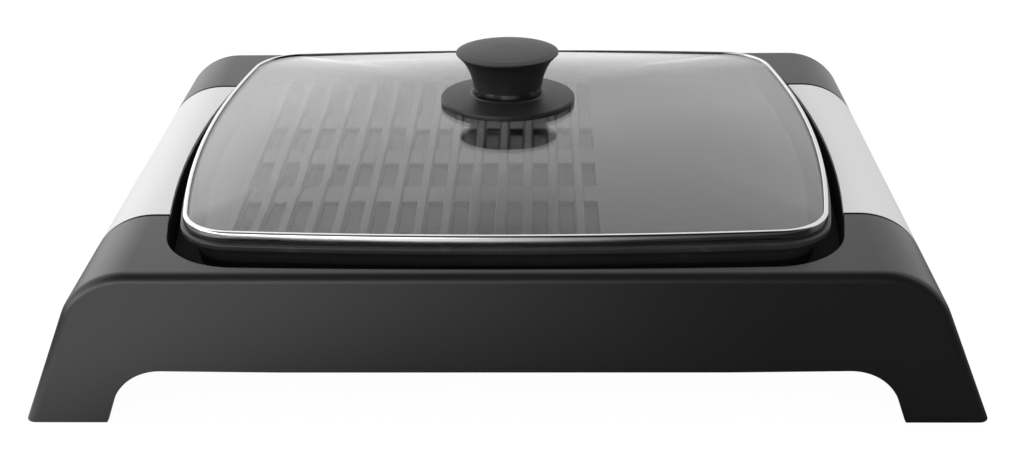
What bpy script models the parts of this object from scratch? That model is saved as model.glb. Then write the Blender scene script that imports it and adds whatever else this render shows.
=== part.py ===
"""Electric table grill with a glass lid, built as separate pieces in metres, +Z up.

The origin is on the table under the middle of the body. -Y is the front, +X is the flat half of the plate.
"""

import math

import bmesh
import bpy
from mathutils import Matrix, Vector

# General
GAP = 0.0003                    # clearance between pieces that touch
OVERRUN = 0.002                 # how far a cutter runs past what it cuts
BITE = 0.0008                   # how far two shapes that are joined run into each other
WELD = 0.000001                 # points closer than this become one
SMOOTH_ANGLE = math.radians(35) # edges sharper than this stay hard
FACING_SHARE = 0.9              # how squarely a face must look along an axis to count as an end face
UPWARD_SHARE = 0.1              # how far a face must look up to count as outer skin
ARC_STEPS = 8                   # straight pieces in a fillet
ROUND_STEPS = 32                # sides of a large turned piece
SMALL_STEPS = 12                # sides of a screw or a small hole

# Lid outline, which the plate, the well and the pan all follow
LID_WIDTH = 0.3424
LID_DEPTH = 0.2684
LID_SIDE_BOW = 0.587            # radius of the bowed left and right sides
LID_END_BOW = 1.870             # radius of the bowed front and back
LID_CORNER = 0.0294
SIDE_STEPS = 3                  # straight pieces in a quarter's half side, corner and half end
CORNER_STEPS = 9
END_STEPS = 4

# Body: a bridge with four legs
SIDE_GAP = 0.0079               # dark gap between lid outline and body at the sides
END_GAP = 0.0136                # the same at front and back
OPENING_SIDE_BOW = 0.602
OPENING_END_BOW = 3.770
OPENING_CORNER = 0.0405
SIDE_BORDER = 0.0609            # from the opening's edge out to the foot's outer edge
END_BORDER = 0.0082             # from the opening's edge to the front face
BODY_HEIGHT = 0.0835
BODY_LEAN = math.radians(23)    # how far the sides lean from upright
SHOULDER_RADIUS = 0.037
EDGE_RADIUS = 0.005             # rounding of the front and back edges
EDGE_STEPS = 4
WALL = 0.0025
FACE_HEIGHT = 0.0527            # from the arch between the front legs up to the body's top
ARCH_RADIUS = 0.024
ARCH_LEAN = math.radians(20)
SIDE_ARCH_DROP = 0.0068         # how much lower the side arches are than the front one
SIDE_ARCH_RADIUS = 0.018
LEG_WIDTH = 0.0405              # along the front
LEG_DEPTH = 0.042               # along the side
LEG_BLOCK = 0.0085              # solid height at the bottom of a leg
LIP = 0.0025                    # wall of the well that hangs from the opening's edge
LEDGE = 0.004                   # thickness of the shelf at the bottom of the well
LEDGE_INSET = 0.014             # from the lid outline in to the shelf's inner edge

# Side panels
PANEL_LENGTH = 0.1808           # from seam to seam
PANEL_THICKNESS = 0.0025
PANEL_MARGIN = 0.0012           # from the front arch's height up to the panels' bottom edges
PANEL_REACH = 0.012             # how far a panel blank runs in past the opening, before it is trimmed
PANEL_BOSS_RADIUS = 0.0035
PANEL_BOSS_SPACING = 0.110
PANEL_BOSS_RISE = 0.018         # from a panel's bottom edge up to its bosses
PANEL_PILOT_DEPTH = 0.0038
PANEL_SCREW_HEAD = 0.0048
PANEL_SCREW_LENGTH = 0.0036

# Feet
FOOT_PAD_WIDTH = 0.025
FOOT_PAD_DEPTH = 0.027
FOOT_PAD_HEIGHT = 0.005
FOOT_PAD_SHOW = 0.0006          # how far the body's legs stop above the table, so that only the pads touch it
FOOT_PAD_ROUND = 0.003

# Bottom cover
COVER_THICKNESS = 0.0022
COVER_MARGIN = 0.006            # from the body's face in to the cover's front and back edges
FLANGE_WIDTH = 0.024            # how far the body's floor flange reaches in over the cover's sides
FLANGE_DEPTH = 0.012            # the same at front and back
COVER_SCREW_INSET = 0.012       # from the cover's side edge in to its screws
COVER_SCREW_SPACING = 0.110
COVER_BOSS_RADIUS = 0.004
COVER_BOSS_HEIGHT = 0.006
VENT_WIDTH = 0.004
VENT_LENGTH = 0.090
VENT_PITCH = 0.014
VENT_COUNT = 8
VENT_START_X = -0.128

# Screws
SCREW_RADIUS = 0.0015
SCREW_HEAD_RADIUS = 0.0027
SCREW_HEAD = 0.0018
SCREW_LENGTH = 0.0036           # shank of the short screws
COVER_SCREW_LENGTH = 0.0080

# Grill plate
PLATE_STAND = 0.0038            # how far its rim stands above the body's top
PLATE_OVERHANG = 0.0016         # how far its rim stands out past the lid
PLATE_RIM_THICKNESS = 0.0037
PLATE_RIM_WIDTH = 0.0061
PLATE_EDGE = 0.0006             # chamfer on the rim
PLATE_DRAFT = 0.0045            # how far the inner wall leans in on its way down
COOKING_DEPTH = 0.0118          # from the rim down to the cooking surface
PLATE_FLOOR = 0.0075
PLATE_SKIRT_INSET = 0.0040      # outer wall, from the lid outline, under the rim
PLATE_SKIRT_DRAFT = 0.0025
RIB_HEIGHT = 0.0025
RIB_WIDTH = 0.0042
RIB_FOOT_WIDTH = 0.0056
RIB_PITCH = 0.01385
RIB_START_X = 0.0388            # the rib next to the flat half
RIB_END_CLEARANCE = 0.0075      # from the inner wall's foot to a rib's end
FLAT_START_X = 0.0505
POCKET_DEPTH = 0.0025
POCKET_LENGTH = 0.031
POCKET_PITCH = 0.050
POCKET_WIDTH = 0.0082
DRAIN_RADIUS = 0.004
DRAIN_INSET = 0.030             # from the lid outline's front edge to the drain
SPOUT_RADIUS = 0.0055
SPOUT_LENGTH = 0.012
SEAT_RADIUS = 0.0033            # the pads that the plate rests on
SEAT_HEIGHT = 0.005
SEAT_INSET = 0.0105
SEAT_SPACING = 0.140

# Heating element, its terminals and what holds them
ELEMENT_RADIUS = 0.0032
ELEMENT_SIDE_INSET = 0.0312     # from the lid outline to the element's runs
ELEMENT_END_INSET = 0.0422
ELEMENT_BEND = 0.018
ELEMENT_JOG_BEND = 0.010
ELEMENT_BEND_STEPS = 5
ELEMENT_SIDES = 2               # bevel resolution of its tube
INLET_INSET = 0.0612            # from the lid outline's left side in to the way in for the plug
TERMINAL_PITCH = 0.019
TERMINAL_END_INSET = 0.0102     # from the lid outline's back edge to the sheath's end
BUSH_LENGTH = 0.005
BUSH_BORE = 0.0024
PIN_RADIUS = 0.0020
PIN_END_CLEARANCE = 0.0018      # from the pin's tip to the well's wall
SOCKET_BORE = 0.0022
SOCKET_LENGTH = 0.034
CLIP_SHEET = 0.001
CLIP_WIDTH = 0.008
CLIP_EAR = 0.009
CLIP_PLACE_X = 0.090            # the two clips on the front run, left and right of the middle
GUARD_SHEET = 0.001
GUARD_WIDTH = 0.044
GUARD_EAR = 0.010
GUARD_LENGTH = 0.034
GUARD_DROP = 0.0087             # from the plate's underside to the guard's bottom
GUARD_NOTCH_CLEARANCE = 0.0025
PILOT_DEPTH = 0.0042

# Heat reflector
PAN_SHEET = 0.001
PAN_DEPTH = 0.007
PAN_FLANGE_INSET = 0.007
PAN_WALL_INSET = 0.0135
PAN_WALL_LEAN = 0.0045
PAN_DRAIN_RADIUS = 0.007
PAN_SCREW_INSET = 0.0104
PAN_SCREW_SPACING = 0.120

# Drip tray and its rails
TRAY_X = 0.064
TRAY_WIDTH = 0.118
TRAY_WALL = 0.0016
TRAY_HEADROOM = 0.0013          # between the tray and the reflector above it
TRAY_FRONT_INSET = 0.028        # from the body's front face back to the tray's far end
TRAY_PANEL_MARGIN = 0.002
TRAY_NOTCH_RADIUS = 0.014
TRAY_NOTCH_DEPTH = 0.007
RAIL_SHELF = 0.005
RAIL_WALL = 0.002
RAIL_HEIGHT = 0.009
RAIL_END_GAP = 0.001
RAIL_MARGIN = 0.0154            # from the right rail out to the body's floor flange

# Inlet
INLET_WIDTH = 0.050
INLET_HEIGHT = 0.022
INLET_WALL = 0.002
INLET_FLANGE = 0.003
INLET_FLANGE_THICKNESS = 0.0022

# Lid
RIM_HEIGHT = 0.0062
RIM_SHEET = 0.0007
RIM_FOLD = 0.0036
RIM_ROUND = 0.0006
GLASS_THICKNESS = 0.004
GLASS_EDGE_INSET = 0.0012
GLASS_LAND = 0.0035             # flat border that the rim folds over
GLASS_RISE = 0.0176
GLASS_POWER = 3.8               # how flat the dome is in the middle
GLASS_HOLE = 0.0045
GLASS_RING_SHARES = (1.0, 0.93, 0.86, 0.78, 0.68, 0.55, 0.40, 0.22)

# Knob
KNOB_FLANGE_RADIUS = 0.0366
KNOB_FLANGE_THICKNESS = 0.0020
KNOB_COLLAR_RADIUS = 0.0193
KNOB_COLLAR_HEIGHT = 0.0048
KNOB_RING_RADIUS = 0.0186
KNOB_RING_BORE = 0.009
KNOB_RING_HEIGHT = 0.0024
KNOB_NECK_RADIUS = 0.0189
KNOB_CAP_RADIUS = 0.0285
KNOB_CAP_HEIGHT = 0.0200
KNOB_BORE = 0.0023
KNOB_PILOT_RADIUS = 0.0022
KNOB_PILOT_DEPTH = 0.012
KNOB_SCREW_RADIUS = 0.0019
KNOB_SCREW_GRIP = 0.010         # how far the screw reaches into the cap
KNOB_SCREW_HEAD_RADIUS = 0.0042
KNOB_SCREW_HEAD = 0.0024
GASKET_RADIUS = 0.009
GASKET_THICKNESS = 0.0015
WASHER_RADIUS = 0.0075
WASHER_THICKNESS = 0.001
# The cap's outline, top to bottom: (share of its radius, share of its height)
CAP_SHARES = (
    (0.35, 0.995), (0.70, 0.975), (0.88, 0.950), (0.965, 0.925), (1.0, 0.885), (0.968, 0.840),
    (0.884, 0.725), (0.807, 0.585), (0.737, 0.350), (0.691, 0.150),
)

# Levels and lengths that follow from the sizes above
OPENING_WIDTH = LID_WIDTH + 2 * SIDE_GAP
OPENING_DEPTH = LID_DEPTH + 2 * END_GAP
FOOT_SPAN = OPENING_WIDTH + 2 * SIDE_BORDER
BODY_DEPTH = OPENING_DEPTH + 2 * END_BORDER
INLET_X = INLET_INSET - LID_WIDTH / 2
RIM_TOP_OF_PLATE = BODY_HEIGHT + PLATE_STAND
COOKING_LEVEL = RIM_TOP_OF_PLATE - COOKING_DEPTH
PLATE_UNDERSIDE = COOKING_LEVEL - PLATE_FLOOR
ARCH_HEIGHT = BODY_HEIGHT - FACE_HEIGHT
SIDE_ARCH_HEIGHT = ARCH_HEIGHT - SIDE_ARCH_DROP
PANEL_BOTTOM = ARCH_HEIGHT + PANEL_MARGIN
PANEL_BOSS_HEIGHT = PANEL_BOTTOM + PANEL_BOSS_RISE
LEDGE_TOP = PLATE_UNDERSIDE - SEAT_HEIGHT - 2 * GAP
LEDGE_BOTTOM = LEDGE_TOP - LEDGE
PAN_TOP = LEDGE_BOTTOM - GAP
PAN_FLOOR_TOP = PAN_TOP - PAN_DEPTH
PAN_BOTTOM = PAN_FLOOR_TOP - PAN_SHEET
COVER_TOP = ARCH_HEIGHT + COVER_THICKNESS
FLOOR_BOTTOM = COVER_TOP + GAP
FLOOR_TOP = FLOOR_BOTTOM + WALL
TRAY_BOTTOM = FLOOR_TOP + 2 * GAP
TRAY_TOP = PAN_BOTTOM - TRAY_HEADROOM
ELEMENT_LEVEL = PLATE_UNDERSIDE - GAP - ELEMENT_RADIUS
COVER_DEPTH = BODY_DEPTH - 2 * COVER_MARGIN
COVER_WIDTH = 2 * (TRAY_X + TRAY_WIDTH / 2 + 2 * GAP + RAIL_WALL + RAIL_MARGIN + FLANGE_WIDTH)
DRAIN_Y = -(LID_DEPTH / 2 - DRAIN_INSET)
LID_BOTTOM = RIM_TOP_OF_PLATE + GAP
LID_TOP = LID_BOTTOM + RIM_HEIGHT
GLASS_EDGE_TOP = LID_TOP - RIM_SHEET - (RIM_HEIGHT - 2 * RIM_SHEET - GLASS_THICKNESS) / 2
GLASS_TOP = GLASS_EDGE_TOP + GLASS_RISE

for old in list(bpy.data.objects):
    bpy.data.objects.remove(old, do_unlink=True)

parts = bpy.data.collections.new("electric_grill")
cutters = bpy.data.collections.new("cutters")
bpy.context.scene.collection.children.link(parts)
bpy.context.scene.collection.children.link(cutters)


def finish(name, color, roughness, metallic=0.0, transmission=0.0):
    """A Principled material with one colour."""
    made = bpy.data.materials.new(name)
    made.use_nodes = True
    shader = made.node_tree.nodes["Principled BSDF"]
    shader.inputs["Base Color"].default_value = (*color, 1.0)
    shader.inputs["Roughness"].default_value = roughness
    shader.inputs["Metallic"].default_value = metallic
    shader.inputs["Transmission Weight"].default_value = transmission
    return made


BLACK_PLASTIC = finish("black_plastic", (0.020, 0.020, 0.021), 0.42)
SILVER_PLASTIC = finish("silver_plastic", (0.62, 0.62, 0.61), 0.34, 0.35)
COATED_CAST = finish("coated_cast_aluminium", (0.022, 0.022, 0.022), 0.5, 0.2)
STEEL = finish("polished_steel", (0.74, 0.74, 0.75), 0.14, 1.0)
PLATED_STEEL = finish("plated_steel", (0.58, 0.58, 0.59), 0.35, 1.0)
SHEATH_STEEL = finish("element_sheath", (0.20, 0.20, 0.19), 0.45, 0.9)
GLASS = finish("tempered_glass", (0.86, 0.88, 0.87), 0.04, 0.0, 1.0)
RUBBER = finish("black_rubber", (0.025, 0.025, 0.026), 0.8)
SILICONE = finish("grey_silicone", (0.30, 0.30, 0.31), 0.6)
CERAMIC = finish("white_ceramic", (0.80, 0.78, 0.74), 0.4)


def hide(piece):
    """Moves a piece among the cutters, where it isn't part of the object."""
    for home in list(piece.users_collection):
        home.objects.unlink(piece)
    cutters.objects.link(piece)
    piece.hide_render = True
    piece.display_type = "WIRE"
    return piece


def new_piece(name, mesh, look):
    piece = bpy.data.objects.new(name, mesh)
    parts.objects.link(piece)
    if look:
        mesh.materials.clear()
        mesh.materials.append(look)
    return piece


def shade(piece, angle=SMOOTH_ANGLE):
    """Smooth shading that keeps the hard edges."""
    piece.data.shade_smooth()
    piece.data.set_sharp_from_angle(angle=angle)
    return piece


def box(name, low, high, look=None):
    """A block between two corners."""
    low, high = Vector(low), Vector(high)
    grid = bmesh.new()
    bmesh.ops.create_cube(grid, size=1.0)
    bmesh.ops.scale(grid, vec=high - low, verts=grid.verts)
    bmesh.ops.translate(grid, vec=(low + high) / 2, verts=grid.verts)
    mesh = bpy.data.meshes.new(name)
    grid.to_mesh(mesh)
    grid.free()
    return new_piece(name, mesh, look)


def rod(name, radius, start, end, look=None, steps=SMALL_STEPS):
    """A round bar from one point to another."""
    start, end = Vector(start), Vector(end)
    grid = bmesh.new()
    bmesh.ops.create_cone(
        grid, cap_ends=True, segments=steps, radius1=radius, radius2=radius, depth=(end - start).length
    )
    mesh = bpy.data.meshes.new(name)
    grid.to_mesh(mesh)
    grid.free()
    piece = new_piece(name, mesh, look)
    turn = Vector((0, 0, 1)).rotation_difference(end - start)
    piece.matrix_world = Matrix.Translation((start + end) / 2) @ turn.to_matrix().to_4x4()
    return piece


def turned(name, profile, look, place=(0, 0, 0), direction=(0, 0, 1), steps=SMALL_STEPS):
    """A turned piece: (radius, height) points run down the outer side, spun about the local Z axis."""
    mesh = bpy.data.meshes.new(name)
    edges = [(i, i + 1) for i in range(len(profile) - 1)]
    mesh.from_pydata([(radius, 0, height) for radius, height in profile], edges, [])
    piece = new_piece(name, mesh, look)
    spin = piece.modifiers.new("spin", "SCREW")
    spin.steps = steps
    spin.render_steps = steps
    spin.use_merge_vertices = True
    spin.merge_threshold = WELD
    spin.use_smooth_shade = False
    turn = Vector((0, 0, 1)).rotation_difference(Vector(direction))
    piece.matrix_world = Matrix.Translation(place) @ turn.to_matrix().to_4x4()
    return piece


PLANES = {
    "XY": Matrix.Identity(4),
    "XZ": Matrix.Rotation(math.radians(90), 4, "X"),
    "YZ": Matrix(((0, 0, 1, 0), (1, 0, 0, 0), (0, 1, 0, 0), (0, 0, 0, 1))),
}


def slab(name, outline, low, high, plane="XY", look=None):
    """A flat outline, given in one plane, thickened from low to high across it."""
    curve = bpy.data.curves.new(name, "CURVE")
    curve.dimensions = "2D"
    curve.fill_mode = "BOTH"
    curve.extrude = (high - low) / 2
    line = curve.splines.new("POLY")
    line.points.add(len(outline) - 1)
    for point, (across, up) in zip(line.points, outline):
        point.co = (across, up, 0, 1)
    line.use_cyclic_u = True
    drawn = bpy.data.objects.new(name + "_outline", curve)
    parts.objects.link(drawn)
    middle = (high + low) / 2
    # Seen in its own plane, an XZ outline is thickened towards -Y.
    drawn.matrix_world = PLANES[plane] @ Matrix.Translation((0, 0, -middle if plane == "XZ" else middle))
    return meshed(name, drawn, look)


def meshed(name, drawn, look):
    """The mesh piece that a curve object makes, with its caps welded on."""
    bpy.context.view_layer.update()
    graph = bpy.context.evaluated_depsgraph_get()
    mesh = bpy.data.meshes.new_from_object(drawn.evaluated_get(graph))
    grid = bmesh.new()
    grid.from_mesh(mesh)
    bmesh.ops.remove_doubles(grid, verts=grid.verts, dist=WELD)
    bmesh.ops.recalc_face_normals(grid, faces=grid.faces)
    grid.to_mesh(mesh)
    grid.free()
    piece = new_piece(name, mesh, look)
    piece.matrix_world = drawn.matrix_world
    bpy.data.objects.remove(drawn, do_unlink=True)
    return piece


def loft(name, rings, look=None, closed=False):
    """A solid through rings of equal point counts. A closed one joins its last ring to its first."""
    grid = bmesh.new()
    loops = [[grid.verts.new(point) for point in ring] for ring in rings]
    pairs = list(zip(loops, loops[1:]))
    if closed:
        pairs.append((loops[-1], loops[0]))
    for first, second in pairs:
        for i in range(len(first)):
            j = (i + 1) % len(first)
            grid.faces.new((first[i], first[j], second[j], second[i]))
    if not closed:
        grid.faces.new(loops[0])
        grid.faces.new(loops[-1])
    bmesh.ops.recalc_face_normals(grid, faces=grid.faces)
    mesh = bpy.data.meshes.new(name)
    grid.to_mesh(mesh)
    grid.free()
    return new_piece(name, mesh, look)


def combine(piece, other, operation):
    change = piece.modifiers.new(other.name, "BOOLEAN")
    change.operation = operation
    change.solver = "EXACT"
    change.object = other
    return piece


def cut(piece, *others):
    for other in others:
        combine(piece, hide(other), "DIFFERENCE")
    return piece


def join(piece, *others):
    for other in others:
        combine(piece, hide(other), "UNION")
    return piece


def settle(piece):
    """Puts the piece's Booleans into its mesh, so that it can be cut or used again as one shape."""
    bpy.context.view_layer.update()
    graph = bpy.context.evaluated_depsgraph_get()
    mesh = bpy.data.meshes.new_from_object(piece.evaluated_get(graph))
    piece.modifiers.clear()
    piece.data = mesh
    return piece


def arc(centre, radius, start, end, steps):
    """Points of an arc, both ends included."""
    return [
        (
            centre[0] + radius * math.cos(start + (end - start) * i / steps),
            centre[1] + radius * math.sin(start + (end - start) * i / steps),
        )
        for i in range(steps + 1)
    ]


class Outline:
    """A rectangle with bowed sides and round corners, made of tangent arcs. Offsets are parallel to it."""

    def __init__(self, width, depth, side_bow, end_bow, corner):
        self.side_bow, self.end_bow, self.corner = side_bow, end_bow, corner
        self.side = Vector((width / 2 - side_bow, 0))
        self.end = Vector((0, depth / 2 - end_bow))
        reach_side, reach_end = side_bow - corner, end_bow - corner
        along = self.end - self.side
        share = (reach_side**2 - reach_end**2 + along.length_squared) / (2 * along.length)
        rise = math.sqrt(reach_side**2 - share**2)
        unit = along.normalized()
        normal = Vector((-unit.y, unit.x))
        choices = [self.side + unit * share + normal * rise * sign for sign in (1, -1)]
        self.centre = max(choices, key=lambda point: min(point.x, point.y))

    def quarter(self, offset):
        """From the middle of the right side round to the middle of the back, one point short of it."""
        low = (self.centre - self.side).angle_signed(Vector((1, 0)))
        high = (self.centre - self.end).angle_signed(Vector((1, 0)))
        points = arc(self.side, self.side_bow + offset, 0, low, SIDE_STEPS)[:-1]
        points += arc(self.centre, self.corner + offset, low, high, CORNER_STEPS)[:-1]
        return points + arc(self.end, self.end_bow + offset, high, math.radians(90), END_STEPS)[:-1]

    def points(self, offset=0.0):
        """The whole outline, anticlockwise from the middle of the right side."""
        quarter = self.quarter(offset)
        back = Vector((0, self.end.y + self.end_bow + offset))
        left = [(-x, y) for x, y in reversed(quarter)]
        upper = quarter + [tuple(back)] + left
        lower = [(-x, -y) for x, y in upper[1:-1]]
        return upper + lower

    def ring(self, offset, height):
        return [(x, y, height) for x, y in self.points(offset)]

    def side_x(self, y, offset):
        """How far out the bowed side lies at y."""
        return self.side.x + math.sqrt((self.side_bow + offset) ** 2 - y**2)

    def end_y(self, x, offset):
        """How far back the bowed end lies at x."""
        return self.end.y + math.sqrt((self.end_bow + offset) ** 2 - x**2)

    def half_depth(self, x, offset):
        """Half the outline's depth at x, also where the corner cuts it short."""
        points = self.quarter(offset) + [(0, self.end.y + self.end_bow + offset)]
        for (x0, y0), (x1, y1) in zip(points, points[1:]):
            if x1 <= abs(x) <= x0:
                return y0 + (y1 - y0) * (x0 - abs(x)) / (x0 - x1)
        return 0.0


lid_outline = Outline(LID_WIDTH, LID_DEPTH, LID_SIDE_BOW, LID_END_BOW, LID_CORNER)
opening_outline = Outline(OPENING_WIDTH, OPENING_DEPTH, OPENING_SIDE_BOW, OPENING_END_BOW, OPENING_CORNER)


def shoulder(inset, from_x, to_z):
    """The body's outer skin in the XZ plane, inset: along the deck, round the shoulder, down the side."""
    level = BODY_HEIGHT - inset
    radius = SHOULDER_RADIUS - inset
    corner_x = side_point(inset, level)[0]
    centre = (corner_x - radius * math.tan((math.radians(90) - BODY_LEAN) / 2), level - radius)
    bend = arc(centre, radius, math.radians(90), BODY_LEAN, ARC_STEPS)
    return [(from_x, level)] + bend + [side_point(inset, to_z)]


def side_point(inset, z):
    """The point of the leaning side at height z."""
    return (FOOT_SPAN / 2 - inset / math.cos(BODY_LEAN) - (z - FOOT_PAD_SHOW) * math.tan(BODY_LEAN), z)


def arch(foot, height, corner_radius, grow, from_z):
    """Half of an arch between two legs: up the leg's inner side from from_z, and round to the flat roof."""
    roof = height + grow
    radius = min(corner_radius, height - FOOT_PAD_SHOW) + grow
    line = foot + grow / math.cos(ARCH_LEAN)
    corner = line - roof * math.tan(ARCH_LEAN)
    centre = (corner - radius * math.tan((math.radians(90) - ARCH_LEAN) / 2), roof - radius)
    return [(line - from_z * math.tan(ARCH_LEAN), from_z)] + arc(
        centre, radius, ARCH_LEAN, math.radians(90), ARC_STEPS
    )


def front_arch(grow, from_z):
    return arch(FRONT_ARCH_FOOT, ARCH_HEIGHT, ARCH_RADIUS, grow, from_z)


def both_sides(half):
    """A right-hand half outline, from the top middle round to the bottom middle, with its mirror image."""
    return half + [(-x, z) for x, z in reversed(half)]


FRONT_ARCH_FOOT = FOOT_SPAN / 2 - LEG_WIDTH
SIDE_ARCH_FOOT = BODY_DEPTH / 2 - LEG_DEPTH
PANEL_START_X = OPENING_WIDTH / 2 - PANEL_REACH
PANEL_BED = PANEL_THICKNESS + GAP


def band(name, near, far, to_z, length, side, look=None):
    """A strip of the body's skin between two insets, over the given length of one side."""
    outline = shoulder(near, PANEL_START_X, to_z) + shoulder(far, PANEL_START_X, to_z)[::-1]
    return slab(name, [(side * x, z) for x, z in outline], -length / 2, length / 2, "XZ", look)


def body_blank():
    """The bridge outline run from front to back, with its front and back edges rounded."""
    half = shoulder(0, 0, FOOT_PAD_SHOW) + front_arch(0, FOOT_PAD_SHOW)
    blank = slab("base_housing", both_sides(half[1:]), -BODY_DEPTH / 2, BODY_DEPTH / 2, "XZ", BLACK_PLASTIC)
    grid = bmesh.new()
    grid.from_mesh(blank.data)
    grid.transform(blank.matrix_world)
    blank.matrix_world = Matrix.Identity(4)
    grid.normal_update()
    for direction in (-1, 1):
        end_faces = [face for face in grid.faces if face.normal.y * direction > FACING_SHARE]
        bmesh.ops.dissolve_faces(grid, faces=end_faces)
    rounded = []
    for edge in grid.edges:
        faces = edge.link_faces
        ends = [face for face in faces if abs(face.normal.y) > FACING_SHARE]
        skins = [face for face in faces if face.normal.z > UPWARD_SHARE]
        if ends and skins:
            rounded.append(edge)
    bmesh.ops.bevel(
        grid, geom=rounded, offset=EDGE_RADIUS, segments=EDGE_STEPS, profile=0.5, affect="EDGES",
        clamp_overlap=False,
    )
    grid.to_mesh(blank.data)
    grid.free()
    return blank


def arch_cutter(name, grow, half_length):
    """The space under one side, from the left of the body to its right."""
    half = arch(SIDE_ARCH_FOOT, SIDE_ARCH_HEIGHT, SIDE_ARCH_RADIUS, grow, -OVERRUN)
    outline = both_sides(half[::-1])
    return slab(name, outline, -half_length, half_length, "YZ")


def cavity():
    """The hollow of the body's shell: over the floor, and down into the four legs."""
    start = LEG_BLOCK
    leg = front_arch(WALL, start)
    step_x = COVER_WIDTH / 2 + GAP + WALL
    half = shoulder(WALL, 0, start)[1:] + leg + [(step_x, FLOOR_BOTTOM), (step_x, FLOOR_TOP)]
    inside = BODY_DEPTH / 2 - WALL
    hollow = slab("body_hollow", both_sides(half), -inside, inside, "XZ")
    cut(hollow, arch_cutter("leg_divider", WALL, FOOT_SPAN / 2 + OVERRUN))
    return settle(hollow)


def cover_screw_places():
    x = COVER_WIDTH / 2 - COVER_SCREW_INSET
    return [(side * x, row * COVER_SCREW_SPACING) for side in (-1, 1) for row in (-1, 0, 1)]


def pan_screw_places():
    x = PAN_SCREW_SPACING / 2
    return [(side * x, end * lid_outline.end_y(x, -PAN_SCREW_INSET)) for side in (-1, 1) for end in (-1, 1)]


def panel_boss_frame(side, end):
    """The point on the body's skin that a panel boss stands under, and the direction inwards."""
    x, z = side_point(0, PANEL_BOSS_HEIGHT)
    inwards = Vector((-side * math.cos(BODY_LEAN), 0, -math.sin(BODY_LEAN)))
    return Vector((side * x, end * PANEL_BOSS_SPACING / 2, z)), inwards


def inlet_box(name, grow, from_y, to_y):
    half_x, half_z = INLET_WIDTH / 2 + grow, INLET_HEIGHT / 2 + grow
    low = (INLET_X - half_x, from_y, ELEMENT_LEVEL - half_z)
    return box(name, low, (INLET_X + half_x, to_y, ELEMENT_LEVEL + half_z))


def tray_box(name, grow, from_y, to_y, low_z, high_z, half_width):
    low = (TRAY_X - half_width - grow, from_y, low_z)
    return box(name, low, (TRAY_X + half_width + grow, to_y, high_z))


TRAY_PANEL_HALF = TRAY_WIDTH / 2 + TRAY_PANEL_MARGIN


def base_housing():
    """One moulding: skin, four legs, floor flange, and the well with the shelf that the plate stands on."""
    blank = body_blank()
    cut(blank, arch_cutter("side_arch", 0, FOOT_SPAN / 2 + OVERRUN), cavity())
    rear = BODY_DEPTH / 2
    low_z, high_z = TRAY_BOTTOM - GAP, TRAY_TOP + 2 * GAP
    cut(blank, tray_box("tray_window", GAP, rear - 2 * WALL, rear + OVERRUN, low_z, high_z, TRAY_PANEL_HALF))
    for side in (-1, 1):
        near, far = PANEL_BED - WALL / 2, PANEL_BED + WALL
        bed = band(f"panel_bed_{side}", near, far, PANEL_BOTTOM - WALL, PANEL_LENGTH + 2 * WALL, side)
        join(blank, bed)
    join(blank, slab("well_block", opening_outline.points(LIP), LEDGE_BOTTOM, BODY_HEIGHT - WALL / 2))
    for side in (-1, 1):
        length = PANEL_LENGTH + 2 * GAP
        cut(blank, band(f"panel_recess_{side}", -OVERRUN, PANEL_BED, PANEL_BOTTOM - GAP, length, side))
    well = slab("well_hollow", opening_outline.points(), LEDGE_TOP, BODY_HEIGHT + OVERRUN)
    hole_outline = lid_outline.points(-LEDGE_INSET)
    cut(blank, well, slab("shelf_hole", hole_outline, LEDGE_BOTTOM - OVERRUN, LEDGE_TOP + OVERRUN))

    notch = GUARD_WIDTH / 2 + GUARD_EAR + GUARD_NOTCH_CLEARANCE
    inner = LID_DEPTH / 2 - LEDGE_INSET - OVERRUN - GUARD_LENGTH / 2
    low = (INLET_X - notch, inner, LEDGE_BOTTOM - OVERRUN)
    cut(blank, box("guard_notch", low, (INLET_X + notch, well_back() - GAP, LEDGE_TOP + OVERRUN)))
    cut(blank, inlet_box("inlet_window", GAP, OPENING_DEPTH / 2 - 2 * OVERRUN, rear + OVERRUN))

    cover_x, cover_y = COVER_WIDTH / 2 + GAP, COVER_DEPTH / 2 + GAP
    low = (-cover_x, -cover_y, ARCH_HEIGHT - OVERRUN)
    cut(blank, box("cover_recess", low, (cover_x, cover_y, FLOOR_BOTTOM)))
    window_x, window_y = cover_x - FLANGE_WIDTH, cover_y - FLANGE_DEPTH
    low = (-window_x, -window_y, ARCH_HEIGHT - OVERRUN)
    cut(blank, box("floor_window", low, (window_x, window_y, FLOOR_TOP + OVERRUN)))

    pilot = SCREW_RADIUS + GAP
    for i, (x, y) in enumerate(cover_screw_places()):
        top = FLOOR_TOP + COVER_BOSS_HEIGHT
        join(blank, rod(f"cover_boss_{i}", COVER_BOSS_RADIUS, (x, y, FLOOR_TOP - WALL / 2), (x, y, top)))
        cut(blank, rod(f"cover_pilot_{i}", pilot, (x, y, FLOOR_BOTTOM - OVERRUN), (x, y, top + OVERRUN)))
    for i, (x, y) in enumerate(pan_screw_places()):
        cut(blank, rod(f"pan_pilot_{i}", pilot, (x, y, LEDGE_BOTTOM - OVERRUN), (x, y, LEDGE_TOP + OVERRUN)))
    for side in (-1, 1):
        for end in (-1, 1):
            point, inwards = panel_boss_frame(side, end)
            tip = point + inwards * 3 * PANEL_BED
            cut(blank, rod(f"panel_hole_{side}_{end}", PANEL_BOSS_RADIUS + GAP, point, tip))
            cut(blank, foot_recess(side, end))
    return blank


def foot_place():
    """The middle of a foot pad, in the leg's block."""
    outer = side_point(0, LEG_BLOCK)[0]
    return (outer + FRONT_ARCH_FOOT) / 2, BODY_DEPTH / 2 - LEG_DEPTH / 2


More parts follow.
